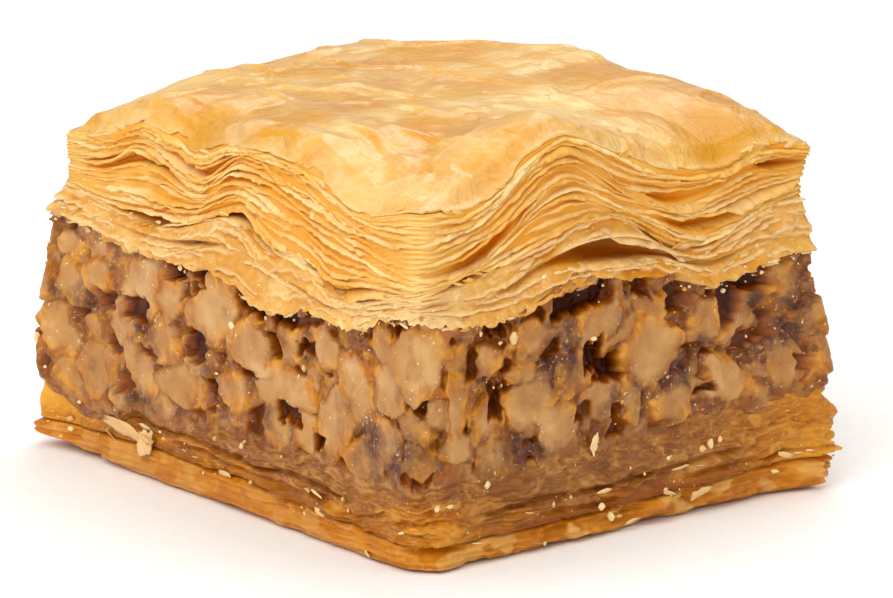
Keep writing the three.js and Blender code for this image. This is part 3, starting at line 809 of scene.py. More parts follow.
def skin_plan():
    """A square grid in u and v. A point's share of the way out is the larger of |u| and
    |v|, and it lies at that share of the outline's point in the same direction. Returned
    are the share, the place round the piece, x, y, and the share of the way to the
    outline without its tears."""
    u, v = np.meshgrid(np.linspace(-1, 1, SKIN_COLUMNS), np.linspace(-1, 1, SKIN_ROWS))
    share = np.maximum(np.maximum(np.abs(u), np.abs(v)), 1e-6)
    edge_u, edge_v = u / share, v / share
    along = np.select(
        [edge_v <= -1, edge_u >= 1, edge_v >= 1],
        [(edge_u + 1) / 2 * LENGTH, LENGTH + (edge_v + 1) / 2 * WIDTH,
         LENGTH + WIDTH + (1 - edge_u) / 2 * LENGTH],
        2 * LENGTH + WIDTH + (1 - edge_v) / 2 * WIDTH,
    )
    back = by_corner(INSET["skin"], along) + SKIN_BACK
    fray = 0.15 * round_noise(3, 3.1, along) + 0.15 * round_noise(4, 0.9, along)
    tear = 0.5 * ease(round_noise(5, 2.6, along), 0.3, 0.6)
    torn = place(along, back + fray + tear, SKIN_EDGE(along))[..., :2]
    whole = place(along, back, SKIN_EDGE(along))[..., :2]
    reached = share * np.linalg.norm(torn, axis=-1) / np.linalg.norm(whole, axis=-1)
    return share, along, torn[..., 0] * share, torn[..., 1] * share, reached


def skin_points():
    """The skin's points and the numbers for its finish. The height is the dome plus wide
    swells, blisters, creases, spots and the steps of lost flakes, and near the rim it
    turns into the height of the uppermost leaf edge."""
    share, along, x, y, reached = skin_plan()
    label, _, _, gap = fragments(
        18, SKIN_FLAKE, x + ROUND / 2 + 1.4 * noise(19, x / 3, y / 3),
        y + 1.4 * noise(20, x / 3, y / 3))
    step = joined(scatter(6, label), gap, 0.3)
    flaked = np.exp(-(((x - FLAKED_MIDDLE[0]) / FLAKED_REACH[0]) ** 2)
                    - ((y - FLAKED_MIDDLE[1]) / FLAKED_REACH[1]) ** 2)
    blister = ease(noise(12, x / 4.2, y / 4.2), 0.25, 0.75)
    crease = 1 - np.abs(noise(13, x / 7.0 + 0.6 * noise(14, x / 9, y / 9), y / 5.0))
    crease = ease(crease, 0.75, 1.0)
    pale, amber = spots(PALE_SPOTS, x, y), spots(AMBER_SPOTS, x, y)
    height = sheet(SKIN_EDGE, x, y, DOME_RISE)
    height = height + SWELL * noise(11, x / 8.0, y / 8.0) * (1 - ease(share, 0.9, 1.0))
    height = height + BLISTER * blister + CREASE * crease + DRY_SPOT * pale - THIN_SPOT * amber
    height = height + GRAIN * noise(15, x / 1.6, y / 1.6)
    height = height + (FLAKE_STEP + MORE_STEP * flaked) * step
    height = height + LUMPS * noise(21, x / 2.6, y / 2.6) * flaked
    seated = ease(reached, SEAT_FROM, 1.0)
    seat = SKIN_EDGE(along) - 0.1 + 0.08 * round_noise(16, 6.0, along)
    height = height * (1 - seated) + seat * seated
    brim = ease(share + 0.01 * noise(17, x / 0.8, y / 0.8), 0.965, 1.0)
    values = {
        # blister: paler on raised blisters, creases and pale spots, partly own colour, partly
        # painted sheen.
        "blister": np.maximum(0.5 * blister + 0.4 * crease, pale), "edge": brim,
        "flake": ease(step, 0.5, 0.6) * (0.3 + 0.7 * flaked), "amber": amber,
    }
    return np.stack([x, y, height], -1).reshape(-1, 3), values


def flat_faces(rows, columns):
    """Four-cornered faces of a grid that closes nowhere."""
    low, left = np.meshgrid(np.arange(rows - 1), np.arange(columns - 1), indexing="ij")
    corner = low * columns + left
    return np.stack([corner, corner + 1, corner + columns + 1, corner + columns],
                    -1).reshape(-1, 4)


points, values = skin_points()
skin = make_piece("top_skin", points, [flat_faces(SKIN_ROWS, SKIN_COLUMNS)], skin_finish,
                  "baked_pastry", **values)
wall = skin.modifiers.new("leaf thickness", "SOLIDIFY")
wall.thickness = SKIN_THICKNESS * MM
wall.offset = -1.0

# %% [markdown]
# ## The stack of leaves
#
# Under the skin lie about thirty leaves, cut through by the knife. A plane with painted
# lines would look printed, so 22 leaf edges are closed ribbons: a thin profile carried
# round the outline. The rest are merged in a core close behind them. Bundles of leaves
# part along four lines, and open into pockets where steam pushed them apart.

# %% Gaps between the bundles
# Each gap has a line, an opening, a depth and pockets: where along the gap, how wide, how
# much taller and how much deeper.
LEAF_GAPS = {
    "belly": (BELLY_POCKET, 0.3, 0.5, [
        (84.5, 13, 2.1, 3.4), (24, 9, 0.6, 1.2), (136, 12, 1.2, 2.4), (201, 10, 1.0, 2.0)]),
    "foot": (STACK_FOOT, 0.5, 1.0, [
        (14, 9, 0.5, 1.6), (33, 9, 1.3, 2.8), (52, 7, 0.9, 1.8), (66, 5, 0.4, 0.8),
        (161, 9, 1.1, 1.8)]),
    "middle": (MIDDLE_GAP, 0.4, 0.8, [
        (13, 8, 0.6, 1.4), (68, 7, 0.9, 1.8), (98, 10, 1.0, 1.8), (186, 8, 0.9, 1.6)]),
    "upper": (UPPER_GAP, 0.3, 0.5, [
        (25, 9, 0.7, 1.2), (92, 8, 0.7, 1.4), (108, 5, 0.8, 2.0), (147, 8, 0.7, 1.2)]),
}


# Where the leaves cling together a gap keeps this share of its opening and depth, and
# where they part it gains the other.
CLINGING, PARTING = 0.2, 0.9


def gap_at(name, along):
    """The line of a gap, half its opening and its depth at places round the piece."""
    line, opening, depth, pockets = LEAF_GAPS[name]
    parted = ease(round_noise(22, 9.0, along, 0 * along + line(along) / 3), 0.0, 0.7)
    tall = opening * (CLINGING + PARTING * parted)
    deep = depth * (CLINGING + PARTING * parted)
    for centre, width, taller, deeper in pockets:
        near = bell(away_from(along, centre), width)
        tall, deep = tall + taller * near, deep + deeper * near
    return line(along), tall / 2, deep


# The lines at which the cut side's inset is known, from low to high.
STACK_INSET_LINES = (
    ("droop", NUT_CEILING(ALONG)), ("low", BELLY_POCKET(ALONG)), ("stack", STACK_FOOT(ALONG)),
    ("stack", MIDDLE_GAP(ALONG)), ("skin", SKIN_EDGE(ALONG)),
)


def stack_inset(along, height):
    """How far the cut side stands back, from the soaked leaves below to the skin above."""
    knots = [line for _, line in STACK_INSET_LINES]
    values = [by_corner(INSET[name], ALONG) for name, _ in STACK_INSET_LINES]
    column = np.round(along / STATION).astype(int) % len(ALONG)
    inset = values[0][column] + 0 * height
    for i in range(len(knots) - 1):
        t = ease(height, knots[i][column], knots[i + 1][column])
        inset = inset + (values[i + 1] - values[i])[column] * t
    return inset


# %% Core behind the leaves
CORE_ROWS = 120
CORE_BACK = 0.36
MERGED_LEAVES = 18
# Where two cuts meet, the leaf edges are smeared together: distance round, and width.
FUSED_CORNERS = (
    (1.0, 4.0), (LENGTH - 0.8, 4.0), (LENGTH + WIDTH, 3.0), (2 * LENGTH + WIDTH, 4.0),
)


def fused(along):
    """How far the leaf edges are smeared together: fully at the corners and a little here
    and there along the sides."""
    smear = 0.45 * ease(round_noise(23, 7.0, along), 0.3, 0.8)
    for corner, width in FUSED_CORNERS:
        smear = np.maximum(smear, bell(away_from(along, corner), 1.6 * width))
    return smear


def paler_at_front_right(along):
    """How much paler the leaves are made at the front right corner."""
    return 0.4 * bell(away_from(along, LENGTH), 9)


def core_rows():
    """Rows from the nuts to just under the skin, and their tone and edge. The wall stands
    a little behind the ribbons, dips into each gap as deep as that gap goes, and comes
    forward where leaves are fused. There it shows merged leaf edges: a sine of the share
    of the way from the lowest crisp leaf to the skin."""
    along = ALONG[::2]
    t = np.linspace(0, 1, CORE_ROWS)[:, None]
    low, high = NUT_CEILING(along) + 0.25, SKIN_EDGE(along) - 0.35
    height = low * (1 - t) + high * t
    foot, top = STACK_FOOT(along), SKIN_EDGE(along)
    smear = (fused(along) + 0 * height) * ease(height - foot, 0.0, 0.6)
    deepest = np.zeros(height.shape)
    for name in LEAF_GAPS:
        line, half, deep = gap_at(name, along)
        inside = np.exp(-(((height - line) / (half + 0.25)) ** 4))
        deepest = np.maximum(deepest, inside * (deep - 0.3))
    leaf = MERGED_LEAVES * (height - foot) / (top - foot)
    edges = np.sin(2 * np.pi * (leaf + 0.4 * round_noise(24, 3.0, along, height / 2)))
    inset = stack_inset(np.broadcast_to(along, height.shape), height)
    inset = inset + CORE_BACK * (1 - smear) + deepest
    inset = inset + 1.5 * (1 - ease(height - foot, -0.3, 0.3))
    inset = inset + (0.12 - 0.06 * smear) * round_noise(21, 2.0, along, height / 0.7)
    inset = inset - 0.08 * smear * edges
    # Painted shade: the tone rises with the depth of the gap, so the core is more amber deep in the
    # gaps.
    tone = np.clip(0.75 - 0.35 * smear + 0.3 * deepest - 0.25 * smear * edges, 0, 1)
    tone = tone * (1 - paler_at_front_right(along))
    return place(along, inset, height), tone, 0.5 * smear * (0.6 + 0.4 * edges)


rows, core_tone, core_edge = core_rows()
make_closed("stack_core", rows, lambda x, y: sheet(NUT_CEILING, x, y) + 0.25,
            lambda x, y: sheet(SKIN_EDGE, x, y, DOME_RISE) - 0.6,
            crisp_leaf, "baked_pastry", edge=core_edge, tone=core_tone)

# %% Ribbons
# A leaf's profile: how far each point stands behind the edge, and its side of the middle.
PROFILE_BACK = np.array([2.6, 0.7, 0.2, 0.04, 0.04, 0.2, 0.7, 2.6])
PROFILE_SIDE = np.array([1.0, 1.0, 0.85, 0.35, -0.35, -0.85, -1.0, -1.0])
# How far behind the edge its fall, its tears and its cream colour fade, in millimetres.
FALL_FADES, TEAR_FADES, CREAM_FADES = 0.7, 0.3, 0.25


def ribbons(name, seed, lines, insets, thickness, droop, ragged_by, pale, finish, slot):
    """Closed ribbons round the piece. Each leaf has a line for its height and a row of
    insets for its edge, which is ragged: slow bays, fine teeth and broken-out stretches.
    The leaf falls by the droop, and more in places, as a power of e of the distance behind
    its edge, as a shingle does. Its edge is cream by pale, and painted shade makes it less
    cream where it stands back and on its lower side. Its lower side is painted more amber
    than its upper one, as shade."""
    count = len(lines)
    number = np.arange(count)[:, None] + np.zeros(len(ALONG))
    along = ALONG + np.zeros((count, 1))
    shift = number * 7.31

    def chance(step, width, other=shift):
        return round_noise(seed + step, width, along, other)

    free = 1 - 0.8 * fused(along)
    teeth = chance(1, 0.45) + 0.6 * chance(2, 1.2)
    offset = 0.26 * chance(0, 3.4) + 0.12 * teeth + 0.35 * ease(chance(3, 6.0), 0.35, 0.6)
    offset = ragged_by * free * offset
    wander = 0.22 * chance(4, 8.0, number / 2.0) * free + 0.05 * chance(5, 1.4)
    thick = thickness * (1 + 0.3 * chance(6, 2.5))
    bend = droop * (0.7 + 0.5 * chance(7, 7.0)) + 0.9 * ease(chance(10, 8.0), 0.2, 0.8) * free
    torn = (0.16 * chance(9, 1.1) + 0.08 * chance(11, 0.45)) * free
    back = PROFILE_BACK[:, None]
    side = PROFILE_SIDE[:, None]
    deep = (insets + offset)[:, None, :] + back
    height = (lines + wander)[:, None, :] + side * (thick / 2)[:, None, :]
    height = height - bend[:, None, :] * np.exp(-back / FALL_FADES)
    height = height - torn[:, None, :] * np.exp(-back / TEAR_FADES)
    points = place(np.broadcast_to(along[:, None, :], deep.shape), deep, height)
    stations, corners = len(ALONG), len(PROFILE_BACK)
    one = grid_faces(corners, stations, ring_rows=True)
    faces = (one[None] + (np.arange(count) * corners * stations)[:, None, None]).reshape(-1, 4)
    # Painted shade: the cream of an edge fades where the leaf stands back and on its lower side.
    cream = pale * (1 - 0.7 * ease(offset, -0.1, 0.4))
    edge = cream[:, None, :] * np.exp(-back / CREAM_FADES) * (0.75 + 0.25 * side)
    # Painted shade: the lower side gets a higher tone and so more amber, the upper side a lower
    # one; amber carries the same on soaked leaves.
    tone = 0.4 + 0.4 * chance(8, 6.0, number / 1.3)
    tone = np.clip(tone[:, None, :] - 0.25 * side, 0, 1) * (1 - paler_at_front_right(ALONG))
    return make_piece(name, points.reshape(-1, 3), [faces], finish, slot, edge=edge, tone=tone,
                      amber=0.8 * tone)


def bundle(low, high, count):
    """Lines for the leaves of a bundle, spaced evenly between its lowest and highest."""
    t = ((np.arange(count) + 0.5) / count)[:, None]
    return low * (1 - t) + high * t


def edges_of(lines):
    """The insets of leaf edges at their heights, one row for each leaf."""
    return np.stack([stack_inset(ALONG, line) for line in lines])


foot, foot_half, _ = gap_at("foot", ALONG)
middle, middle_half, _ = gap_at("middle", ALONG)
upper, upper_half, _ = gap_at("upper", ALONG)
belly, belly_half, _ = gap_at("belly", ALONG)
SOAKED_BUNDLES = {
    "soaked_leaves_low": (151, bundle(NUT_CEILING(ALONG) + 0.9, belly - belly_half + 0.3, 3)),
    "soaked_leaves_high": (171, bundle(belly + belly_half + 0.5, foot - foot_half + 0.4, 3)),
}
for name, (seed, lines) in SOAKED_BUNDLES.items():
    ribbons(name, seed, lines, edges_of(lines) - 0.15, thickness=0.32, droop=0.6,
            ragged_by=1.3, pale=0.5, finish=wet_leaf, slot="baked_pastry")
BUNDLES = {
    "leaves_under_skin": (31, bundle(upper + upper_half, SKIN_EDGE(ALONG) - 0.2, 4)),
    "leaves_upper": (41, bundle(middle + middle_half, upper - upper_half, 5)),
    "leaves_middle": (51, bundle(foot + foot_half, middle - middle_half, 7)),
}
for name, (seed, lines) in BUNDLES.items():
    ribbons(name, seed, lines, edges_of(lines) - 0.05, thickness=0.38, droop=0.4,
            ragged_by=1.1, pale=1.0, finish=crisp_leaf, slot="baked_pastry")

# %% [markdown]
# ## Side panels
#
# The soft layers are cut faces with fine relief. Each is a grid over one side of the
# block, whose points stand a little in or out, so a few numbers a point are enough. A
# strip round the grid's border runs inwards and closes behind it. Four panels meet at the
# corners, where their points are the same.

# %% Panels
PANEL_STEP = 0.14
PANEL_DEPTH = 5.0
SIDE_NAMES = ("front", "right", "back", "left")


def panel_grid(side, low, high, rows):
    """Places of a grid over one side: rows spaced evenly between two lines."""
    columns = round(SIDE_LENGTHS[side] / PANEL_STEP) + 1
    along = SIDE_STARTS[side] + np.linspace(0, 1, columns) * SIDE_LENGTHS[side]
    t = np.linspace(0, 1, rows)[:, None]
    height = low(along) * (1 - t) + high(along) * t
    return along + 0 * height, height


def panel(name, along, height, inset, finish, slot, **values):
    """A closed panel: the relief grid, a strip from its border to the depth of the panel,
    and a fan that closes the back."""
    rows, columns = height.shape
    number = np.arange(rows * columns).reshape(rows, columns)
    border = np.concatenate([number[0, :-1], number[:-1, -1], number[-1, :0:-1], number[:0:-1, 0]])
    front = place(along, inset, height).reshape(-1, 3)
    behind = place(along.ravel()[border], PANEL_DEPTH, height.ravel()[border])
    points = np.concatenate([front, behind, behind.mean(0, keepdims=True)])
    count = len(border)
    ring = len(front) + np.arange(count)
    following = np.roll(ring, -1)
    strip = np.stack([np.roll(border, -1), border, ring, following], -1)
    fan = np.stack([following, ring, np.full(count, len(points) - 1)], -1)
    faces = [flat_faces(rows, columns), strip, fan]
    spare = np.zeros(count + 1)
    values = {key: np.concatenate([numbers.ravel(), spare]) for key, numbers in values.items()}
    return make_piece(name, points, faces, finish, slot, **values)


# %% [markdown]
# ## Soaked leaves
#
# The leaves that lie on the nuts are wet through. They cling together and hang over the
# nuts like shingles: each one's lower edge stands proud and frays, and its face runs in
# again above. So they are a relief of sloping steps, and the lowest edge hangs free. The
# six soaked ribbons made above lie over this relief and give it some free edges.

# %% Soaked leaves
SHINGLES = 7
SHINGLE_PROUD = 0.32
# The waves of a shingle's edge: seed, strength and width, from slow ones to frayed ones.
SHINGLE_WAVES = ((64, 0.5, 6.0), (65, 0.35, 1.7), (66, 0.15, 0.5))
SOAKED_ROWS = 52


def ragged_ceiling(along):
    """The torn lower edge of the soaked leaves, near the top of the filling."""
    torn = ragged(along, (61, 0.3, 2.4), (62, 0.22, 0.8), (63, 0.14, 0.35))
    return NUT_CEILING(along) + 0.1 + torn


def soaked_top(along):
    """The upper border of the soaked leaves, just above the lowest crisp leaf."""
    return STACK_FOOT(along) + 0.3


def shingle_noise(along, k, seed, width, apart):
    """Noise along one of the shingles. Each reads the same field on a line of its own."""
    return round_noise(seed, width, along, 0 * along + apart * k)


def shingles(along, height):
    """How far the steps stand out, and how near a place is to the edge of a step and to
    the shade under it. A step is full at its edge and fades over its face."""
    low, high = NUT_CEILING(along), soaked_top(along)
    out, edge, shade = (np.zeros(height.shape) for _ in range(3))
    for k in range(SHINGLES):
        base = low + (high - low) * (k + 0.35) / SHINGLES
        for seed, strength, width in SHINGLE_WAVES:
            base = base + strength * shingle_noise(along, k, seed, width, 1.7)
        full = ease(shingle_noise(along, k, 67, 7.0, 2.3), -0.4, 0.7)
        tall = 1.0 + 0.4 * shingle_noise(along, k, 68, 9.0, 2.9)
        above = height - base
        step = full * ease(above, -0.07, 0.07) * np.clip(1 - above / tall, 0, 1)
        out = np.maximum(out, SHINGLE_PROUD * step)
        edge = np.maximum(edge, full * bell(above - 0.08, 0.35))
        shade = np.maximum(shade, full * bell(above + 0.2, 0.5))
    return out, edge, shade


def carved_by_gaps(along, height):
    """How deep the two lowest gaps cut into the soaked leaves, steep above and sloping
    below, and how near a place is to the brow that hangs over a deep gap."""
    carved, brow = np.zeros((2, *height.shape))
    for name in ("belly", "foot"):
        line, half, deep = gap_at(name, along)
        above = (height - line) / (half + 0.05)
        carved = np.maximum(carved, deep * np.exp(-(above ** np.where(above > 0, 12, 4))))
        hung = ease(deep, 0.8, 2.0) * bell(height - line - half - 0.3, 0.5)
        brow = np.maximum(brow, hung)
    return carved, brow


for side, side_name in enumerate(SIDE_NAMES):
    along, height = panel_grid(side, ragged_ceiling, soaked_top, SOAKED_ROWS)
    out, edge, shade = shingles(along, height)
    carved, brow = carved_by_gaps(along, height)
    edge, out = np.maximum(edge, brow), np.maximum(out, 0.3 * brow)
    hang = 0.35 * (1 - ease(height - ragged_ceiling(along), 0.0, 1.2))
    inset = stack_inset(along, height) + 0.1 - out - hang + carved
    inset = inset + rough(along, height, (69, 0.18, 3.0, 1.6), (70, 0.12, 0.9, 0.6))
    # More amber round the right side and at the front left, less near the front right corner, and
    # in patches.
    soaked = 0.4 * bell(away_from(along, 88), 44) - 0.5 * bell(away_from(along, 58), 22)
    soaked = soaked + 0.15 * bell(away_from(along, 20), 40) + 0.05
    soaked = soaked + 0.3 * ease(round_noise(60, 4.0, along, height / 2.5), 0.1, 0.6)
    # Painted shade: amber grows under each shingle's step and deep in the carved gaps, over the
    # soaked amber.
    amber = (soaked + 0.45 * shade) * (1 - 0.7 * edge) + 0.9 * ease(carved, 0.2, 2.4)
    panel(f"leaves_soaked_{side_name}", along, height, inset, wet_leaf, "baked_pastry",
          edge=np.maximum(0.45 * edge, paler_at_front_right(along)), amber=np.clip(amber, 0, 1))

# %% [markdown]
# ## The filling
#
# The knife leaves nearly flat faces of cut walnut, and around them a lower, lumpy paste
# with dark hollows. Loose walnuts set in a wall would look like pebbles in clay, so all of
# it is one relief on each side. The places of the walnuts, hollows and stains come first.

# %% Walnut places
# The large pieces on the front and right sides: distance round the piece, height, width,
# tallness, lean in degrees, and tone from pale to brown.
LARGE_WALNUTS = [
    (0.4, 17.1, 3.9, 4.7, 0, 0.5), (4.2, 21.3, 4.9, 2.9, 0, 0.25),
    (5.2, 17.9, 4.2, 4.3, 0, 0.2), (9.5, 19.1, 5.2, 3.6, 0, 0.3),
    (9.4, 9.6, 4.8, 5.6, 0, 0.5), (13.8, 15.3, 4.4, 5.0, 15, 0.15),
    (16.5, 19.4, 8.4, 5.4, 20, 0.15), (16.2, 11.0, 4.7, 6.4, 15, 0.2),
    (22.0, 18.8, 4.9, 5.0, -10, 0.2), (23.2, 10.8, 8.2, 4.8, 0, 0.3),
    (28.8, 19.0, 8.7, 5.2, 30, 0.1), (31.4, 11.6, 7.1, 2.9, 0, 0.5),
    (34.7, 16.6, 8.2, 4.5, -20, 0.15), (39.8, 13.8, 9.3, 5.1, 0, 0.1),
    (42.2, 18.2, 5.4, 3.1, 0, 0.45), (47.7, 12.0, 5.3, 7.0, -15, 0.2),
    (46.8, 18.7, 3.5, 3.8, 0, 0.3), (51.2, 15.6, 5.4, 7.0, 10, 0.15),
    (56.3, 17.2, 4.7, 5.4, -10, 0.25), (56.3, 11.8, 5.3, 3.8, -20, 0.45),
    (59.9, 19.6, 6.7, 6.6, -15, 0.05), (60.6, 10.8, 4.1, 3.2, 0, 0.5),
    (65.4, 15.6, 3.0, 6.4, 0, 0.4), (65.1, 11.4, 4.7, 3.6, 0, 0.35),
    (69.0, 14.0, 3.7, 4.3, 0, 0.5), (68.8, 19.3, 4.1, 3.2, 0, 0.6),
    (74.7, 14.0, 6.8, 5.4, -20, 0.1), (77.7, 11.6, 5.2, 4.8, 20, 0.2),
    (74.8, 20.4, 6.0, 3.8, 0, 0.45), (82.8, 13.3, 5.1, 4.4, 0, 0.4),
    (82.9, 20.6, 6.7, 4.4, 10, 0.35), (89.4, 17.3, 7.2, 6.5, 10, 0.1),
    (86.8, 13.1, 2.6, 6.6, -5, 0.2), (89.9, 21.4, 4.2, 2.9, 0, 0.6),
    (95.8, 19.0, 4.0, 5.0, -15, 0.5), (98.5, 12.7, 6.2, 4.6, -20, 0.2),
    (105.1, 13.8, 4.9, 5.6, 0, 0.4), (107.0, 21.0, 6.8, 3.4, -10, 0.45),
    (109.8, 17.8, 4.6, 4.0, 0, 0.5), (110.5, 14.0, 4.6, 4.6, 0, 0.5),
]
WALNUT_TRIES, MOST_WALNUTS = 2500, 120
WIDEST, NARROWEST = 8.0, 3.6
OVERLAP = 0.9
WALNUT_TONES = [0.05, 0.15, 0.25, 0.4, 0.55, 0.7]
rng = np.random.default_rng(17)


def with_chance_walnuts(places):
    """Adds pieces wherever chance finds room on any side, from wide to narrow. A piece has
    room where it stands clear of every other by nearly their mean size."""
    places = [tuple(row) for row in places]
    for i in range(WALNUT_TRIES):
        if len(places) >= MOST_WALNUTS:
            break
        along = rng.uniform(0, ROUND)
        share = (i / WALNUT_TRIES) ** 0.5
        width = (WIDEST * (1 - share) + NARROWEST * share) * rng.uniform(0.85, 1.15)
        tall = width * rng.uniform(0.6, 1.0)
        low, high = NUT_FLOOR(along) + 0.45 * tall, NUT_CEILING(along) - 0.45 * tall
        height = rng.uniform(low, max(high, low + 0.1))
        other = np.array(places)
        sideways = away_from(other[:, 0], along) / ((other[:, 2] + width) / 2)
        upright = (other[:, 1] - height) / ((other[:, 3] + tall) / 2)
        if np.hypot(sideways, upright).min() > OVERLAP:
            lean = rng.uniform(-45, 45)
            tone = rng.choice(WALNUT_TONES)
            places.append((along, height, width, tall, lean, tone))
    return np.array(places)


walnuts = with_chance_walnuts(LARGE_WALNUTS)
print(len(walnuts), "walnuts show on the four sides")

# %% Dark hollows
# The hollows that catch the eye on the front and right sides: distance round, height,
# width, tallness and depth. The rest come by chance, most of them just under the pastry.
HOLLOWS = [
    (22.2, 22.0, 3.2, 1.6, 2.0), (26.1, 22.3, 3.4, 2.0, 2.2), (34.6, 21.3, 3.8, 3.0, 2.2),
    (40.2, 20.5, 3.4, 2.0, 2.0), (43.5, 18.1, 2.4, 1.2, 1.6), (15.2, 16.7, 3.4, 2.0, 1.8),
    (10.6, 17.2, 2.4, 1.2, 1.4), (25.5, 15.1, 2.6, 2.4, 1.8), (27.7, 11.1, 1.8, 1.8, 1.6),
    (13.5, 9.1, 2.2, 2.0, 1.2), (33.7, 14.3, 2.8, 1.0, 1.2), (40.8, 11.0, 3.0, 1.6, 1.6),
    (45.7, 9.3, 1.8, 1.6, 1.6), (23.9, 19.8, 1.2, 1.8, 1.4), (17.6, 12.6, 2.2, 1.0, 1.2),
    (69.8, 22.0, 2.6, 1.2, 1.8), (79.4, 23.0, 4.4, 2.2, 2.6), (82.4, 23.4, 2.6, 1.6, 2.4),
    (82.4, 17.6, 2.4, 2.2, 2.4), (84.0, 16.2, 2.4, 2.0, 2.2), (67.1, 19.0, 1.8, 3.0, 1.4),
    (70.1, 14.9, 1.6, 3.4, 1.6), (88.5, 23.2, 2.0, 1.6, 1.6), (92.7, 21.8, 2.6, 2.2, 1.8),
    (99.6, 20.6, 2.8, 4.2, 1.9), (102.6, 22.4, 4.6, 2.4, 2.2), (94.6, 15.8, 1.2, 2.2, 1.4),
    (96.3, 12.3, 1.8, 0.9, 1.4), (81.2, 12.2, 2.0, 1.8, 1.4), (85.2, 11.4, 0.8, 2.2, 1.4),
    (102.1, 16.4, 5.0, 1.4, 1.4), (107.5, 13.2, 1.6, 1.6, 1.4),
]
# Paste stained by the walnuts' skins: distance round, height, width, tallness, strength.
STAINS = [
    (17.5, 14.6, 5.6, 4.0, 0.9), (27.6, 13.7, 4.2, 4.2, 0.9), (6.7, 16.4, 4.6, 4.0, 0.7),
    (15.2, 8.0, 8.5, 2.4, 0.8), (37.2, 10.0, 3.8, 3.2, 1.0), (52.9, 11.1, 3.8, 7.0, 1.0),
    (58.2, 11.0, 7.0, 5.6, 1.0), (59.6, 16.4, 5.0, 5.0, 0.5), (40.0, 18.6, 3.0, 2.0, 0.6),
    (77.6, 18.0, 6.0, 5.6, 1.0), (72.5, 10.1, 7.5, 4.6, 1.0), (92.4, 14.4, 4.4, 5.0, 0.9),
    (104.5, 16.5, 8.0, 5.4, 1.0), (67.4, 18.2, 3.0, 4.4, 0.7), (95.3, 16.0, 3.8, 3.4, 0.9),
    (84.6, 13.2, 3.0, 3.8, 0.8), (108.0, 19.2, 5.0, 4.0, 0.9), (87.1, 12.3, 3.2, 6.0, 0.5),
]


def chance_hollows(count):
    """Hollows on the back and left sides: wide ones under the pastry, small ones lower."""
    along = rng.uniform(LENGTH + WIDTH + 1, ROUND - 1, count)
    high = rng.uniform(0, 1, count) < 0.45
    room = NUT_CEILING(along) - NUT_FLOOR(along)
    share = np.where(high, rng.uniform(0.84, 0.93, count), rng.uniform(0.1, 0.85, count))
    width = np.where(high, rng.uniform(2.2, 5.2, count), rng.uniform(1.2, 2.4, count))
    tall = np.where(high, rng.uniform(1.3, 2.4, count), rng.uniform(1.2, 2.6, count))
    deep = np.where(high, rng.uniform(1.6, 3.0, count), rng.uniform(1.2, 2.2, count))
    return np.stack([along, NUT_FLOOR(along) + share * room, width, tall, deep], -1)


CHANCE_HOLLOWS, CHANCE_STAINS = 44, 40
STAIN_SPREAD, STAIN_STRENGTH = 2.0, 0.8
hollows = np.concatenate([np.array(HOLLOWS), chance_hollows(CHANCE_HOLLOWS)])
stain_spots = chance_hollows(CHANCE_STAINS)
stain_spots[:, 2:4] *= STAIN_SPREAD
stain_spots[:, 4] = STAIN_STRENGTH
stain_spots = np.concatenate([np.array(STAINS), stain_spots])
print(len(hollows), "hollows and", len(stain_spots), "stains")


# A bell's reach as a share of its width, a little over half.
BELL_REACH = 0.55


def strongest(places, along, height, power):
    """The strongest at each place of many bells, each exp(-(across^power + upright^power))
    in units of its reach, times the bell's own strength."""
    found = np.zeros(np.broadcast(along, height).shape)
    for centre, level, width, tall, strength in places:
        near = np.exp(-((away_from(along, centre) / (BELL_REACH * width)) ** power
                        + ((height - level) / (BELL_REACH * tall)) ** power))
        found = np.maximum(found, strength * near)
    return found


# %% [markdown]
# ## Cut walnuts and paste
#
# On the flat of the side each large walnut is an uneven polygon with rounded corners: a
# power mean of the ways past its edges says how far inside it a point lies. Between the
# large ones lie fragments: every point belongs to the nearest of many scattered middles,
# which gives broken, angular outlines. Each fragment is flesh, paste or a pit and has a
# tilt and a level of its own. The place is shaken by noise first, so no border is straight.

# %% Walnut faces
WALNUT_EDGES = 7
# The higher this power, the sharper a walnut's corners.
CORNER_POWER = 14


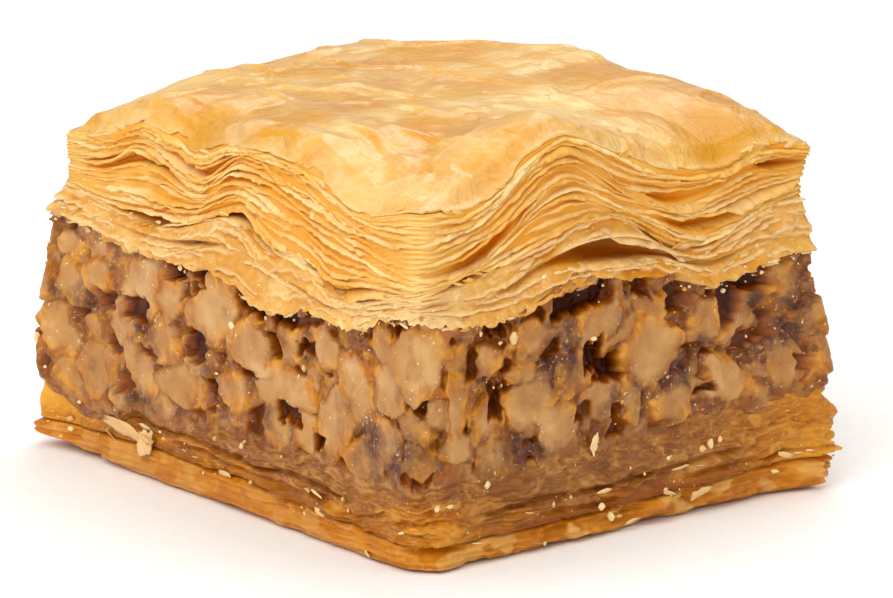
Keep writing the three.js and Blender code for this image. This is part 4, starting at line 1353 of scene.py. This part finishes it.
def walnut_faces(along, height):
    """How far the walnuts stand out, how far inside the nearest of them a place lies, and
    that one's share of flesh, tone and nearness to its skin."""
    level, within, flesh, tone, rim = np.zeros((5, *along.shape))
    level[:], within[:] = -1, -9
    edge = np.arange(WALNUT_EDGES)
    for i, (centre, middle, width, tall, lean, own_tone) in enumerate(walnuts):
        near = np.flatnonzero(np.abs(away_from(along[0], centre)) < 0.75 * max(width, tall) + 1)
        if not near.size:
            continue
        chance = scatter(55, np.full(WALNUT_EDGES, i), edge)
        angle = (edge + 0.8 * (chance - 0.5)) / WALNUT_EDGES * 2 * np.pi
        reach = 0.86 + 0.35 * scatter(56, np.full(WALNUT_EDGES, i), edge)
        a, h = away_from(along[:, near], centre), height[:, near] - middle
        turn = np.radians(lean)
        p = (a * np.cos(turn) + h * np.sin(turn)) / (width / 2)
        q = (h * np.cos(turn) - a * np.sin(turn)) / (tall / 2)
        facing = p[..., None] * np.cos(angle) + q[..., None] * np.sin(angle)
        outward = np.maximum(facing / reach, 0) ** CORNER_POWER
        outward = outward.sum(-1) ** (1 / CORNER_POWER)
        inside = (1 - outward) * min(width, tall) / 2
        stand, lean_a, lean_h = scatter(57, np.full(3, i), np.arange(3)) - 0.5
        face = 0.15 + 0.35 * stand + 0.2 * lean_a * a + 0.2 * lean_h * h
        rise = face - 0.9 * (1 - ease(inside, -0.4, 0.25))
        level[:, near] = np.maximum(level[:, near], rise)
        turned = 1.2 * np.arctan2(q, p) + 9.0 * i
        husk = ease(noise(58, turned, 0 * p), -0.4, 0.3)
        soft = 0.5 + 1.5 * ease(noise(60, turned, 0 * p), -0.4, 0.5)
        nearest = inside > within[:, near]
        for kept, found in ((within, inside), (flesh, ease(inside, -0.3, 0.6 * soft)),
                            (tone, own_tone + 0 * p), (rim, husk * bell(inside - 0.1, 1.8))):
            kept[:, near] = np.where(nearest, found, kept[:, near])
    return level, within, flesh, tone, rim


# %% Broken ground
def broken_ground(seed, size, along, height):
    """The level, flesh, tone, border and pits of fragments of one size."""
    label, across, upward, gap = fragments(seed, size, along, height)
    stand, lean_a, lean_h, kind, brown = (scatter(seed + k, label) for k in (2, 3, 4, 5, 6))
    tilted = 0.4 * (lean_a - 0.5) * across + 0.4 * (lean_h - 0.5) * upward
    level = joined(0.25 * (stand - 0.5) * size + tilted, gap, 0.3)
    flesh = joined((kind < 0.4) * 0.8, gap, 0.3 * size)
    tone = joined(np.where(brown < 0.5, 0.25 + 0.5 * brown, 0.6 + 0.4 * brown), gap, 0.3 * size)
    pit = joined((kind > 0.86) * 1.0, gap, 0.2) ** 2
    return level, flesh, tone, 1 - ease(gap, 0, 0.5), pit


# %% Filling panels
FILLING_ROWS = 124
# The panel starts below the nuts and ends behind the soaked leaves.
FILLING_BELOW, FILLING_ABOVE = 1.9, 0.6
FRAGMENT, FINE_FRAGMENT = 2.3, 0.95
HOLLOW_DEPTH, PIT_DEPTH, FINE_PIT_DEPTH = 0.65, 0.9, 0.5
SHAKE_ALONG = ((51, 0.5, 2.2, 2.2), (52, 0.2, 0.7, 0.7))
SHAKE_HEIGHT = ((53, 0.5, 2.2, 2.2), (54, 0.2, 0.7, 0.7))


def ragged_floor(along):
    """The uneven lower border of the paste, where it is pressed into the base."""
    return NUT_FLOOR(along) - 0.5 + ragged(along, (71, 0.9, 4.0), (72, 0.4, 1.3))


def filling_ground(along, height, shaken, raised):
    """The level, flesh, tone, rim and pits between the walnuts: fragments of two sizes,
    the fine ones stronger where the paste is loose."""
    level, flesh, tone, border, pit = broken_ground(121, FRAGMENT, shaken, raised)
    finer, fine_flesh, fine_tone, _, fine_pit = broken_ground(
        141, FINE_FRAGMENT, shaken, raised)
    loose = ease(round_noise(73, 5.0, along, height / 4.0), -0.3, 0.3)
    level = level + (0.5 + 0.7 * loose) * finer - 0.25 - 0.1 * border
    level = level + 0.1 * round_noise(85, 0.9, along, height / 0.9)
    flesh = flesh * (1 - 0.7 * loose) + 0.7 * loose * fine_flesh
    tone = tone * (1 - 0.5 * loose) + 0.5 * loose * fine_tone
    rim = 0.7 * border * ease(round_noise(74, 2.6, along, height / 2.6), -0.1, 0.4)
    pits = np.maximum(PIT_DEPTH * pit, FINE_PIT_DEPTH * fine_pit * loose)
    return level, flesh, tone, rim, pits


def filling_relief(along, height):
    """The inset of the cut filling and the numbers for its finish. Walnuts win wherever
    they stand above the ground, hollows and pits are sunk in both, and near the base the
    relief fades into pressed leaves."""
    shaken = along + rough(along, height, *SHAKE_ALONG)
    raised = height + rough(along, height, *SHAKE_HEIGHT)
    level, flesh, tone, rim, pits = filling_ground(along, height, shaken, raised)
    nut_level, within, nut_flesh, nut_tone, nut_rim = walnut_faces(shaken, raised)
    wins = ease(nut_level - level, -0.1, 0.1)
    covers = ease(within, -0.4, 0.1)
    dent = np.clip(-level, 0, 1) * (1 - wins)
    level = level * (1 - wins) + nut_level * wins
    flesh, tone, rim = (kept * (1 - covers) + found * covers for kept, found in (
        (flesh, nut_flesh), (tone, nut_tone), (rim, nut_rim)))
    mauve = strongest(stain_spots, shaken, raised, 2)
    smeared = ease(round_noise(86, 1.8, along, height / 2.4), 0.1, 0.7)
    flesh = flesh * (1 - 0.35 * smeared) * (1 - 0.9 * mauve * (1 - ease(within, 0.7, 2.2)))
    above_floor = height - ragged_floor(along)
    bedded = 1 - ease(above_floor, -0.2, 1.8)
    edge_noise = 0.35 * round_noise(81, 0.6, along, height / 0.6)
    deep = HOLLOW_DEPTH * strongest(hollows, shaken + edge_noise, raised - edge_noise, 8)
    deep = np.maximum(deep, pits * (1 - covers) * (1 - bedded))
    level = level * (1 - 0.6 * bedded) - 1.2 * (1 - ease(above_floor, -1.3, 0.1))
    inset = by_corner(INSET["filling"], along) + 0.2 - level + deep
    inset = inset + 0.03 * round_noise(88, 0.5, along, height / 0.5)
    # Painted shade: dark grows with the depth of hollows and pits and where the paste lies low.
    dented = np.clip(dent - 0.4, 0, 1) * (1 - bedded)
    # Painted glow: amber low at the front left corner, passed on in rim with the walnuts' skins.
    glowing = 0.6 * bell(away_from(along, 0), 6) * (1 - ease(height, 14, 19))
    return inset, {
        "flesh": flesh, "tone": tone, "rim": np.maximum(rim * (1 - 0.7 * mauve), glowing),
        "dark": np.clip(0.6 * deep + 0.9 * dented, 0, 1), "mauve": mauve, "pressed": bedded,
    }


for side, side_name in enumerate(SIDE_NAMES):
    along, height = panel_grid(side, lambda s: NUT_FLOOR(s) - FILLING_BELOW,
                               lambda s: NUT_CEILING(s) + FILLING_ABOVE, FILLING_ROWS)
    inset, values = filling_relief(along, height)
    filling = panel(f"filling_{side_name}", along, height, inset, walnut, "walnuts", **values)

# %% [markdown]
# ## Broken pieces
#
# Crumbs are broken lumps, and torn flakes are lumps that are pressed flat. A lump could be
# cut from a block by planes, but one formula is quicker for hundreds of them. It gives, in
# every direction from the middle, how far the lump reaches before the nearest of a few
# random planes stops it. A soft least of those reaches rounds the edges.


# %% Broken pieces
def ball(rings, around):
    """Directions of a ball's points, ring by ring with a pole at each end, and its faces."""
    turn = np.arange(around) / around * 2 * np.pi
    tilt = (np.arange(rings) + 0.5) / rings * np.pi
    tilt, turn = np.meshgrid(tilt, turn, indexing="ij")
    wall = np.stack([np.sin(tilt) * np.cos(turn), np.sin(tilt) * np.sin(turn), np.cos(tilt)], -1)
    directions = np.concatenate([wall.reshape(-1, 3), [[0, 0, 1], [0, 0, -1]]])
    across = np.arange(around)
    top, bottom = rings * around, rings * around + 1
    last = (rings - 1) * around
    cap = np.stack([np.full(around, top), across, (across + 1) % around], -1)
    foot = np.stack([np.full(around, bottom), last + (across + 1) % around, last + across], -1)
    quads = grid_faces(rings, around)[:, ::-1]
    return directions, [quads, np.concatenate([cap, foot])]


def repeated(faces, count, step):
    """The same faces for each of many pieces, whose points follow one another."""
    starts = (np.arange(count) * step)[:, None, None]
    return [(corners[None] + starts).reshape(-1, corners.shape[1]) for corners in faces]


# A lump's planes stand between this and 1 from its middle, and a ball limits its corners.
NEAREST_PLANE = 0.72
BALL_RADIUS = 1 / 0.9


def broken(seed, directions, count, planes, sharp):
    """How far each piece reaches in each direction: the inverse of a power mean of
    cos(angle) / distance over random planes and of 1 / radius of the ball."""
    chance = np.random.default_rng(seed)
    normals = chance.normal(size=(count, planes, 3))
    normals /= np.linalg.norm(normals, axis=-1, keepdims=True)
    distance = chance.uniform(NEAREST_PLANE, 1.0, (count, planes))
    facing = np.einsum("cpk,dk->cdp", normals, directions)
    push = np.maximum(facing, 0) / distance[:, None, :]
    return ((push**sharp).sum(-1) + BALL_RADIUS**-sharp) ** (-1 / sharp)


# %% [markdown]
# ## The base
#
# Under the nuts the leaves are pressed together and glued with syrup, so their edges are a
# finely lined relief and not separate ribbons. The lowest few bake into a crust with a
# slit above it.

# %% Pressed leaves
BASE_ROWS = 56
BASE_PITCH = 0.42
RIDGE_RISE, RIDGE_PROUD = 0.14, 0.4
# The long grooves between bundles: the seed of each one's waves, and its height above the
# slit.
GROOVES = ((109, 1.1), (110, 2.2))
GROOVE_DEPTH = 0.55
# Where the base changes its look, as distances round the piece.
FRONT_LEFT, FRONT_CORNER, RIGHT_END = 0, 61.5, 111


def slit_at(along):
    """The slit's line, half its opening and its depth."""
    near = bell(away_from(along, 110), 6)
    return BASE_SLIT(along), (0.35 + 0.4 * near) / 2, 0.8 + 0.8 * near


def leaf_ridges(along, height):
    """The rounded ridges of the leaf edges, one for each pitch. They wander, so that no
    line is level. Also how strong each is, how proud it stands, and how far it frays."""
    wander = rough(along, height, (92, 1.2, 5.0, 2.5), (93, 0.35, 1.6, 1.2))
    phase = (height + wander) / BASE_PITCH
    leaf = np.floor(phase)
    ridge = np.sqrt(np.abs(np.sin(np.pi * phase)) + 1e-3)
    strength = np.clip(0.3 + 0.7 * round_noise(94, 4.0, along, leaf * 3.7), 0, 1)
    proud = RIDGE_PROUD * ease(round_noise(95, 6.0, along, leaf * 5.1), 0.1, 0.7)
    frayed = 0.12 * round_noise(89, 1.2, along, leaf * 2.3)
    frayed = frayed + 0.6 * round_noise(91, 3.0, along, height / 1.3)
    return ridge, strength, proud, frayed


def long_grooves(along, above):
    """The grooves between bundles, open only here and there and least at the front corner.
    above is the height above the slit."""
    groove = np.zeros(above.shape)
    for seed, rise in GROOVES:
        level = rise + 0.4 * round_noise(seed, 7.0, along)
        opened = ease(round_noise(seed + 10, 9.0, along), -0.3, 0.4)
        groove = np.maximum(groove, opened * bell(above - level, 0.5))
    return groove * (1 - 0.7 * bell(away_from(along, FRONT_CORNER), 15))


def pressed_finish(along, height, above, groove):
    """Where the base is stained by syrup, where it is painted darker amber as shade by the
    slit and in the grooves, and where it is brighter.
    """
    stain = ease(above + 0.8 * round_noise(98, 3.0, along, height / 2), 0.4, 2.2)
    at_left = bell(away_from(along, FRONT_LEFT), 18)
    at_right = 0.9 * bell(away_from(along, RIGHT_END), 22)
    at_front = 0.9 * bell(away_from(along, FRONT_CORNER), 15) * (1 - ease(above, 2.4, 5.0))
    fresh = np.maximum(np.maximum(at_left, at_right), at_front)
    reach = 1.4 + 1.2 * bell(away_from(along, 84), 44)
    # Painted shade: darker amber near the slit, reaching higher round the right side, and in the
    # grooves.
    slit_and_groove_shade = 1 - ease(above + 0.5 * round_noise(90, 2.0, along, height), 0.3, reach)
    slit_and_groove_shade = slit_and_groove_shade * (1 - fresh) * (0.7 + 0.3 * bell(away_from(along, 88), 50))
    bright = 0.75 * bell(away_from(along, FRONT_LEFT), 14) * ease(above, 0.6, 2.0)
    at_right = 0.6 * bell(away_from(along, RIGHT_END), 10) * (1 - ease(above, 1.5, 4.0))
    return {"stain": stain * (1 - fresh), "slit_and_groove_shade": np.maximum(slit_and_groove_shade, 0.6 * groove),
            "bright": bright + at_right}


def pressed_rows():
    """Rows from inside the slit, out round its lip and up to the nuts, with the ridges and
    grooves. The base is smooth at the left corner and torn at the right end."""
    line, half, deep = slit_at(ALONG)
    t = np.linspace(0, 1, BASE_ROWS)[:, None]
    low, high = line + half, NUT_FLOOR(ALONG) + 0.6
    height = low * (1 - t) + high * t
    along = ALONG + 0 * height
    above = height - line
    ridge, strength, proud, frayed = leaf_ridges(along, height)
    lively = 1 - bell(away_from(along, FRONT_LEFT), 14)
    groove = lively * long_grooves(along, above)
    torn = bell(away_from(along, RIGHT_END), 12)
    inset = by_corner(INSET["base"], along) * (1 - t) + by_corner(INSET["filling"], along) * t
    inset = inset + 0.35 + 0.8 * t**14 + rough(along, height, (96, 0.35, 3.0, 1.6))
    inset = inset - lively * ridge * (RIDGE_RISE * strength + proud * (1 - t**2))
    inset = inset + GROOVE_DEPTH * groove + lively * rough(along, height, (97, 0.15, 0.8, 0.6))
    inset = inset - torn * (frayed - 0.1) * (1 - t**6)
    mouth = place(ALONG, by_corner(INSET["base"], ALONG) + 0.3 + deep, line)
    values = pressed_finish(along, height, above, groove)
    values["edge"] = lively * strength * ridge
    values = {key: np.vstack([numbers[:1], numbers]) for key, numbers in values.items()}
    return np.vstack([mouth[None], place(along, inset, height)]), values


rows, values = pressed_rows()
make_closed("pressed_leaves", rows, lambda x, y: sheet(BASE_SLIT, x, y),
            lambda x, y: sheet(NUT_FLOOR, x, y), soaked_base, "soaked_pastry", **values)

# %% Bottom crust
CRUST_KNOTS = np.array([  # share of the height up to the slit, and inset beyond the lip's
    (0.0, 1.2), (0.04, 0.7), (0.14, 0.28), (0.3, 0.06), (0.5, 0.0), (0.7, 0.04), (0.86, 0.12),
    (0.97, 0.3),
])
CRUST_ROWS = 22
CRUST_PITCH = 0.7
CRUST_CURL = 1.1
# The lowest row's height, the underside's, and how far inside the rim that begins.
CRUST_FOOT, UNDERSIDE, UNDERSIDE_BACK = 0.12, 0.02, 2.5


def crust_rows():
    """Rows from the flat underside, out over the rounded lip and up to the slit, then in
    along the slit. The front left corner curls up a little. The wall has lumps, which are
    fragments of random level, the lines of its leaves and a few bitten places."""
    line, half, deep = slit_at(ALONG)
    curl = CRUST_CURL * bell(away_from(ALONG, FRONT_LEFT), 16)
    t = np.linspace(0, 1, CRUST_ROWS)[:, None]
    share = np.interp(t, np.linspace(0, 1, len(CRUST_KNOTS)), CRUST_KNOTS[:, 0])
    back = np.interp(t, np.linspace(0, 1, len(CRUST_KNOTS)), CRUST_KNOTS[:, 1])
    low, high = CRUST_FOOT + curl, line - half
    height = low * (1 - share) + high * share
    along = ALONG + 0 * height
    lip = by_corner(INSET["lip"], along) * (1 - share) + by_corner(INSET["base"], along) * share
    lumpy = 0.2 + 0.8 * bell(away_from(along, 88), 50)
    shaken = along + 0.5 * round_noise(107, 1.2, along, height)
    label, _, _, gap = fragments(105, 2.4, shaken, 1.4 * height)
    lump = joined(scatter(106, label), gap, 0.5)
    relief = rough(along, height, (101, 0.5, 3.0, 2.0), (102, 0.3, 0.9, 0.7)) - 0.7 * (lump - 0.5)
    lined = np.sin(2 * np.pi * (height + 0.2 * round_noise(103, 6.0, along)) / CRUST_PITCH)
    bitten = ease(round_noise(104, 4.5, along, height / 2), 0.5, 0.8)
    inset = lip + back + 0.2 + lumpy * relief - 0.13 * lined + 0.5 * bitten
    wall = place(along, inset, height)
    rim = by_corner(INSET["rim"], ALONG)
    under = place(ALONG, rim + UNDERSIDE_BACK, 0 * ALONG + UNDERSIDE)[None]
    mouth = place(ALONG, by_corner(INSET["base"], ALONG) + 0.3 + deep, line)[None]
    pale = ease(lump, 0.55, 0.75) * (0.2 + 0.8 * lumpy)
    return np.concatenate([under, wall, mouth]), np.vstack([pale[:1], pale, pale[-1:]])


rows, pale = crust_rows()
make_closed("bottom_crust", rows, lambda x, y: 0 * x, lambda x, y: sheet(BASE_SLIT, x, y) - 0.05,
            crust, "soaked_pastry", edge=pale)

# %% [markdown]
# ## Crumbs
#
# A knife that cuts brittle leaves and nuts strews crumbs, which stick to every syrupy
# surface. Most fall by chance, and the largest are placed one by one. All crumbs of one kind
# are one piece, since none of them moves by itself.


# %% Scattered bits
def strew(seed, count, line_low, line_high, inset, smallest, largest):
    """Places on the cut side between two lines, with sizes that are mostly small."""
    chance = np.random.default_rng(seed)
    along = chance.uniform(0, ROUND, count)
    t = chance.uniform(0, 1, count)
    height = line_low(along) * (1 - t) + line_high(along) * t
    size = smallest + (largest - smallest) * chance.uniform(0, 1, count) ** 3
    back = by_corner(INSET[inset], along)
    return along, height, back, size


CRUMB_RINGS = (3, 6)
CRUMB_PLANES, CRUMB_SHARP = 6, 6.0


def crumbs(name, seed, places, slot, sunk, brown):
    """Small broken lumps at the places, stretched by chance and sunk a little into what
    they lie on. Their tones are mostly low and reach twice the number brown."""
    along, height, back, size = places
    directions, faces = ball(*CRUMB_RINGS)
    chance = np.random.default_rng(seed)
    count = len(along)
    reach = broken(seed, directions, count, CRUMB_PLANES, CRUMB_SHARP)
    stretch = chance.uniform(0.4, 1.3, (count, 3))
    shape = directions[None] * (reach * size[:, None] / 2)[..., None] * stretch[:, None, :]
    a, b, c = np.moveaxis(shape, -1, 0)
    deep = back[:, None] + sunk - b
    points = place(along[:, None] + a, deep, height[:, None] + c)
    tone = np.repeat(chance.uniform(0, 1, count) ** 2 * 2 * brown, len(directions))
    return make_piece(name, points.reshape(-1, 3), repeated(faces, count, len(directions)),
                      crumb, slot, smooth=False, tone=tone)


places = strew(302, 260, NUT_FLOOR, NUT_CEILING, "filling", smallest=0.12, largest=0.5)
crumbs("crumbs_on_nuts", 301, places, "walnuts", sunk=0.22, brown=0.35)
places = strew(304, 300, lambda s: NUT_CEILING(s) - 0.7, lambda s: NUT_CEILING(s) + 0.9,
               "droop", smallest=0.15, largest=0.6)
crumbs("crumbs_under_leaves", 303, places, "baked_pastry", sunk=0.25, brown=0.25)
places = strew(306, 130, lambda s: BASE_SLIT(s) - 2.0, NUT_FLOOR, "base",
               smallest=0.15, largest=0.7)
crumbs("crumbs_on_base", 305, places, "soaked_pastry", sunk=0.25, brown=0.3)

# Crumbs that catch the eye: distance round, height, how far back, and size.
LARGE_CRUMBS = np.array([
    (69.2, 7.4, 0.5, 0.8), (64.7, 6.2, 0.5, 0.8), (63.2, 6.1, 0.5, 1.0), (96.4, 6.8, 0.4, 0.9),
    (97.6, 6.9, 0.4, 0.6), (95.4, 6.4, 0.4, 0.6), (31.6, 18.2, 0.5, 0.8), (43.2, 16.3, 0.5, 0.8),
    (0.5, 11.1, 0.6, 0.8), (72.2, 20.9, 0.4, 1.4), (68.2, 21.9, 0.4, 1.0), (82.0, 19.3, 0.5, 0.8),
    (83.1, 3.0, 0.2, 0.9), (84.1, 1.9, 0.1, 0.9), (32.4, 17.3, 0.5, 0.5), (70.6, 20.6, 0.5, 0.7),
])
crumbs("large_crumbs", 307, LARGE_CRUMBS.T, "soaked_pastry", sunk=0.2, brown=0.2)

# %% [markdown]
# ## Torn flakes
#
# A flake is a bit of leaf: far thinner than wide, ragged and bent. It starts as a ball of
# points that is pressed flat, its outline is shaken, and it is bent like a gutter. Flat
# sheets would do for the smallest, but a closed body keeps its edge when seen from the side.


# %% Flakes
SHORTEST_FLAKE = 0.6
FLAKE_THICK = 0.07
FLAKE_CURL = 0.12
FLAKE_PLANES, FLAKE_SHARP = 7, 14.0


def flakes(name, seed, places, finish, slot, rings=(4, 10)):
    """Flat torn bits. A place gives along, height, how far back, length, width, lean in
    degrees, and how much it stands off at its top. The bend grows with the square of the
    distance from the middle."""
    directions, faces = ball(*rings)
    along, height, back, length, width, lean, lift = np.asarray(places, float).T[:, :, None]
    count = len(places)
    label = np.arange(count)[:, None] * 5.3
    reach = broken(seed, directions * [1, 1, 0.2], count, FLAKE_PLANES, FLAKE_SHARP)
    reach = reach * (1 + 0.35 * noise(seed + 1, 3 * directions[:, 0] + label, 3 * directions[:, 1]))
    reach = reach * (1 + 0.2 * noise(seed + 3, 8 * directions[:, 0] + label, 8 * directions[:, 1]))
    a = directions[:, 0] * length / 2 * reach
    c = directions[:, 1] * width / 2 * reach
    b = FLAKE_THICK * directions[:, 2] + FLAKE_CURL * a**2 / np.maximum(length, 1) + lift * c
    b = b + 0.15 * noise(seed + 2, a / 1.2 + label, c / 1.2)
    turn = np.radians(lean)
    a, c = a * np.cos(turn) - c * np.sin(turn), a * np.sin(turn) + c * np.cos(turn)
    points = place(along + a, back - b, height + c)
    out = np.hypot(directions[:, 0], directions[:, 1])
    shade = np.repeat(np.random.default_rng(seed).uniform(0, 0.6, count), len(out))
    values = {"edge": np.tile(0.3 * ease(out, 0.75, 1.0), count), "tone": shade, "amber": shade}
    return make_piece(name, points.reshape(-1, 3), repeated(faces, count, len(directions)),
                      finish, slot, **values)


def chance_flakes(seed, count, line, spread, inset, sink, longest):
    """Places for flakes scattered along a line, near it by the spread, and sunk a little
    into the cut side."""
    chance = np.random.default_rng(seed)
    along = chance.uniform(0, ROUND, count)
    height = line(along) + chance.normal(0, spread, count)
    length = chance.uniform(SHORTEST_FLAKE, longest, count)
    width = length * chance.uniform(0.15, 0.45, count)
    back = by_corner(INSET[inset], along) + sink
    lean = chance.normal(0, 12, count)
    return np.stack([along, height, back, length, width, lean, chance.normal(0.3, 0.4, count)], -1)


places = chance_flakes(312, 60, ragged_ceiling, 0.25, "droop", sink=0.1, longest=2.6)
flakes("flakes_over_nuts", 311, places, crumb, "baked_pastry")
places = chance_flakes(322, 50, lambda s: SKIN_EDGE(s) - 0.2, 0.2, "skin", sink=0.3, longest=2.2)
flakes("flakes_at_skin", 321, places, crisp_leaf, "baked_pastry")
places = chance_flakes(332, 40, STACK_FOOT, 0.4, "stack", sink=0.05, longest=2.0)
flakes("flakes_at_foot", 331, places, crisp_leaf, "baked_pastry")
places = chance_flakes(342, 50, lambda s: BASE_SLIT(s) + 0.8, 1.2, "base", sink=0.25, longest=2.4)
flakes("flakes_on_base", 341, places, crumb, "soaked_pastry")
# Torn bits that hang at the base: the same seven numbers.
LARGE_FLAKES = [
    (15.4, 4.6, 0.1, 7.4, 2.0, -8, 0.4), (18.6, 3.7, 0.0, 3.0, 1.5, 70, 0.3),
    (82.1, 9.2, 0.4, 2.0, 0.9, 80, 0.2), (94.2, 2.3, 0.0, 2.4, 1.0, 10, 0.4),
]
flakes("large_flakes", 351, LARGE_FLAKES, crumb, "soaked_pastry", rings=(7, 24))

# %% [markdown]
# ## Floor, light and camera
#
# A pale floor and large soft lamps light the food as in a plain studio: the strongest
# above the camera, weaker ones beside it, at the sides and overhead. Two lamps behind the
# piece skim the glaze, and the small low one gives the top its gleam. The camera stands at
# one corner, a little above the piece, and looks through a long lens.

# %% Floor
floor_finish, tree, shader, where = new_finish("matte_white_paper", Roughness=0.9)
fibres = ramp(tree, cloud(tree, where, 1.5, detail=2.0), (0.3, "#F6F5F3"), (0.7, "#FAF9F7"))
tree.links.new(fibres, shader.inputs["Base Color"])
FLOOR_HALF = 1.5
floor_mesh = bpy.data.meshes.new("floor")
corners = [(-FLOOR_HALF, -FLOOR_HALF, 0), (FLOOR_HALF, -FLOOR_HALF, 0),
           (FLOOR_HALF, FLOOR_HALF, 0), (-FLOOR_HALF, FLOOR_HALF, 0)]
floor_mesh.from_pydata(corners, [], [(0, 1, 2, 3)])
floor_mesh.materials.append(floor_finish)
floor = bpy.data.objects.new("floor", floor_mesh)
bpy.context.scene.collection.objects.link(floor)

# %% Camera
AZIMUTH, ELEVATION = np.radians(51.2), np.radians(13.5)
TARGET = Vector((1.31, 1.63, 16.9)) * MM
CAMERA_DISTANCE = 0.47
LENS = 193.5
back = Vector((np.sin(AZIMUTH) * np.cos(ELEVATION), -np.cos(AZIMUTH) * np.cos(ELEVATION),
               np.sin(ELEVATION)))
camera_data = bpy.data.cameras.new("camera")
camera_data.lens = LENS
camera_data.clip_start = 0.01
camera = bpy.data.objects.new("camera", camera_data)
camera.location = TARGET + back * CAMERA_DISTANCE
camera.rotation_euler = (-back).to_track_quat("-Z", "Y").to_euler()
bpy.context.scene.collection.objects.link(camera)
bpy.context.scene.camera = camera


# %% Lights
LAMP_DISTANCE = 0.9
LIT_POINT = Vector((0, 0, 0.02))
# Each square lamp: azimuth and elevation in degrees, side in metres, watts and colour.
LAMPS = {
    "light_above_camera": (25, 45, 0.6, 4.2, "#FFFAF2"),
    "light_beside_camera": (48, 14, 0.7, 1.9, "#FFFAF2"),
    "light_overhead": (60, 85, 0.8, 2.2, "#FFFFFF"),
    "light_left": (-40, 25, 0.6, 1.4, "#FFFFFF"),
    "light_right": (125, 35, 0.6, 1.0, "#FFFFFF"),
    "light_behind": (215, 58, 0.6, 2.8, "#FFFFFF"),
    "light_low_behind": (228, 34, 0.32, 0.5, "#FFFAF2"),
}
ROOM_LIGHT = 0.35


def soft_light(name, azimuth, elevation, size, watts, code):
    """A square lamp that faces the piece."""
    a, e = np.radians(azimuth), np.radians(elevation)
    toward = Vector((np.sin(a) * np.cos(e), -np.cos(a) * np.cos(e), np.sin(e)))
    lamp = bpy.data.lights.new(name, "AREA")
    lamp.size = size
    lamp.energy = watts
    lamp.color = colour(code)[:3]
    holder = bpy.data.objects.new(name, lamp)
    holder.location = LIT_POINT + toward * LAMP_DISTANCE
    holder.rotation_euler = (-toward).to_track_quat("-Z", "Y").to_euler()
    bpy.context.scene.collection.objects.link(holder)


for name, numbers in LAMPS.items():
    soft_light(name, *numbers)
print(len(LAMPS), "lamps")

world = bpy.data.worlds.new("studio")
world.use_nodes = True
world.node_tree.nodes["Background"].inputs["Color"].default_value = colour("#FFFFFF")
world.node_tree.nodes["Background"].inputs["Strength"].default_value = ROOM_LIGHT
bpy.context.scene.world = world
bpy.context.scene.view_settings.view_transform = "Standard"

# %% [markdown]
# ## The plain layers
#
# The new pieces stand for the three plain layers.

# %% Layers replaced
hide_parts("pastry_top")
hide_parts("walnut_filling")
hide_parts("pastry_base")
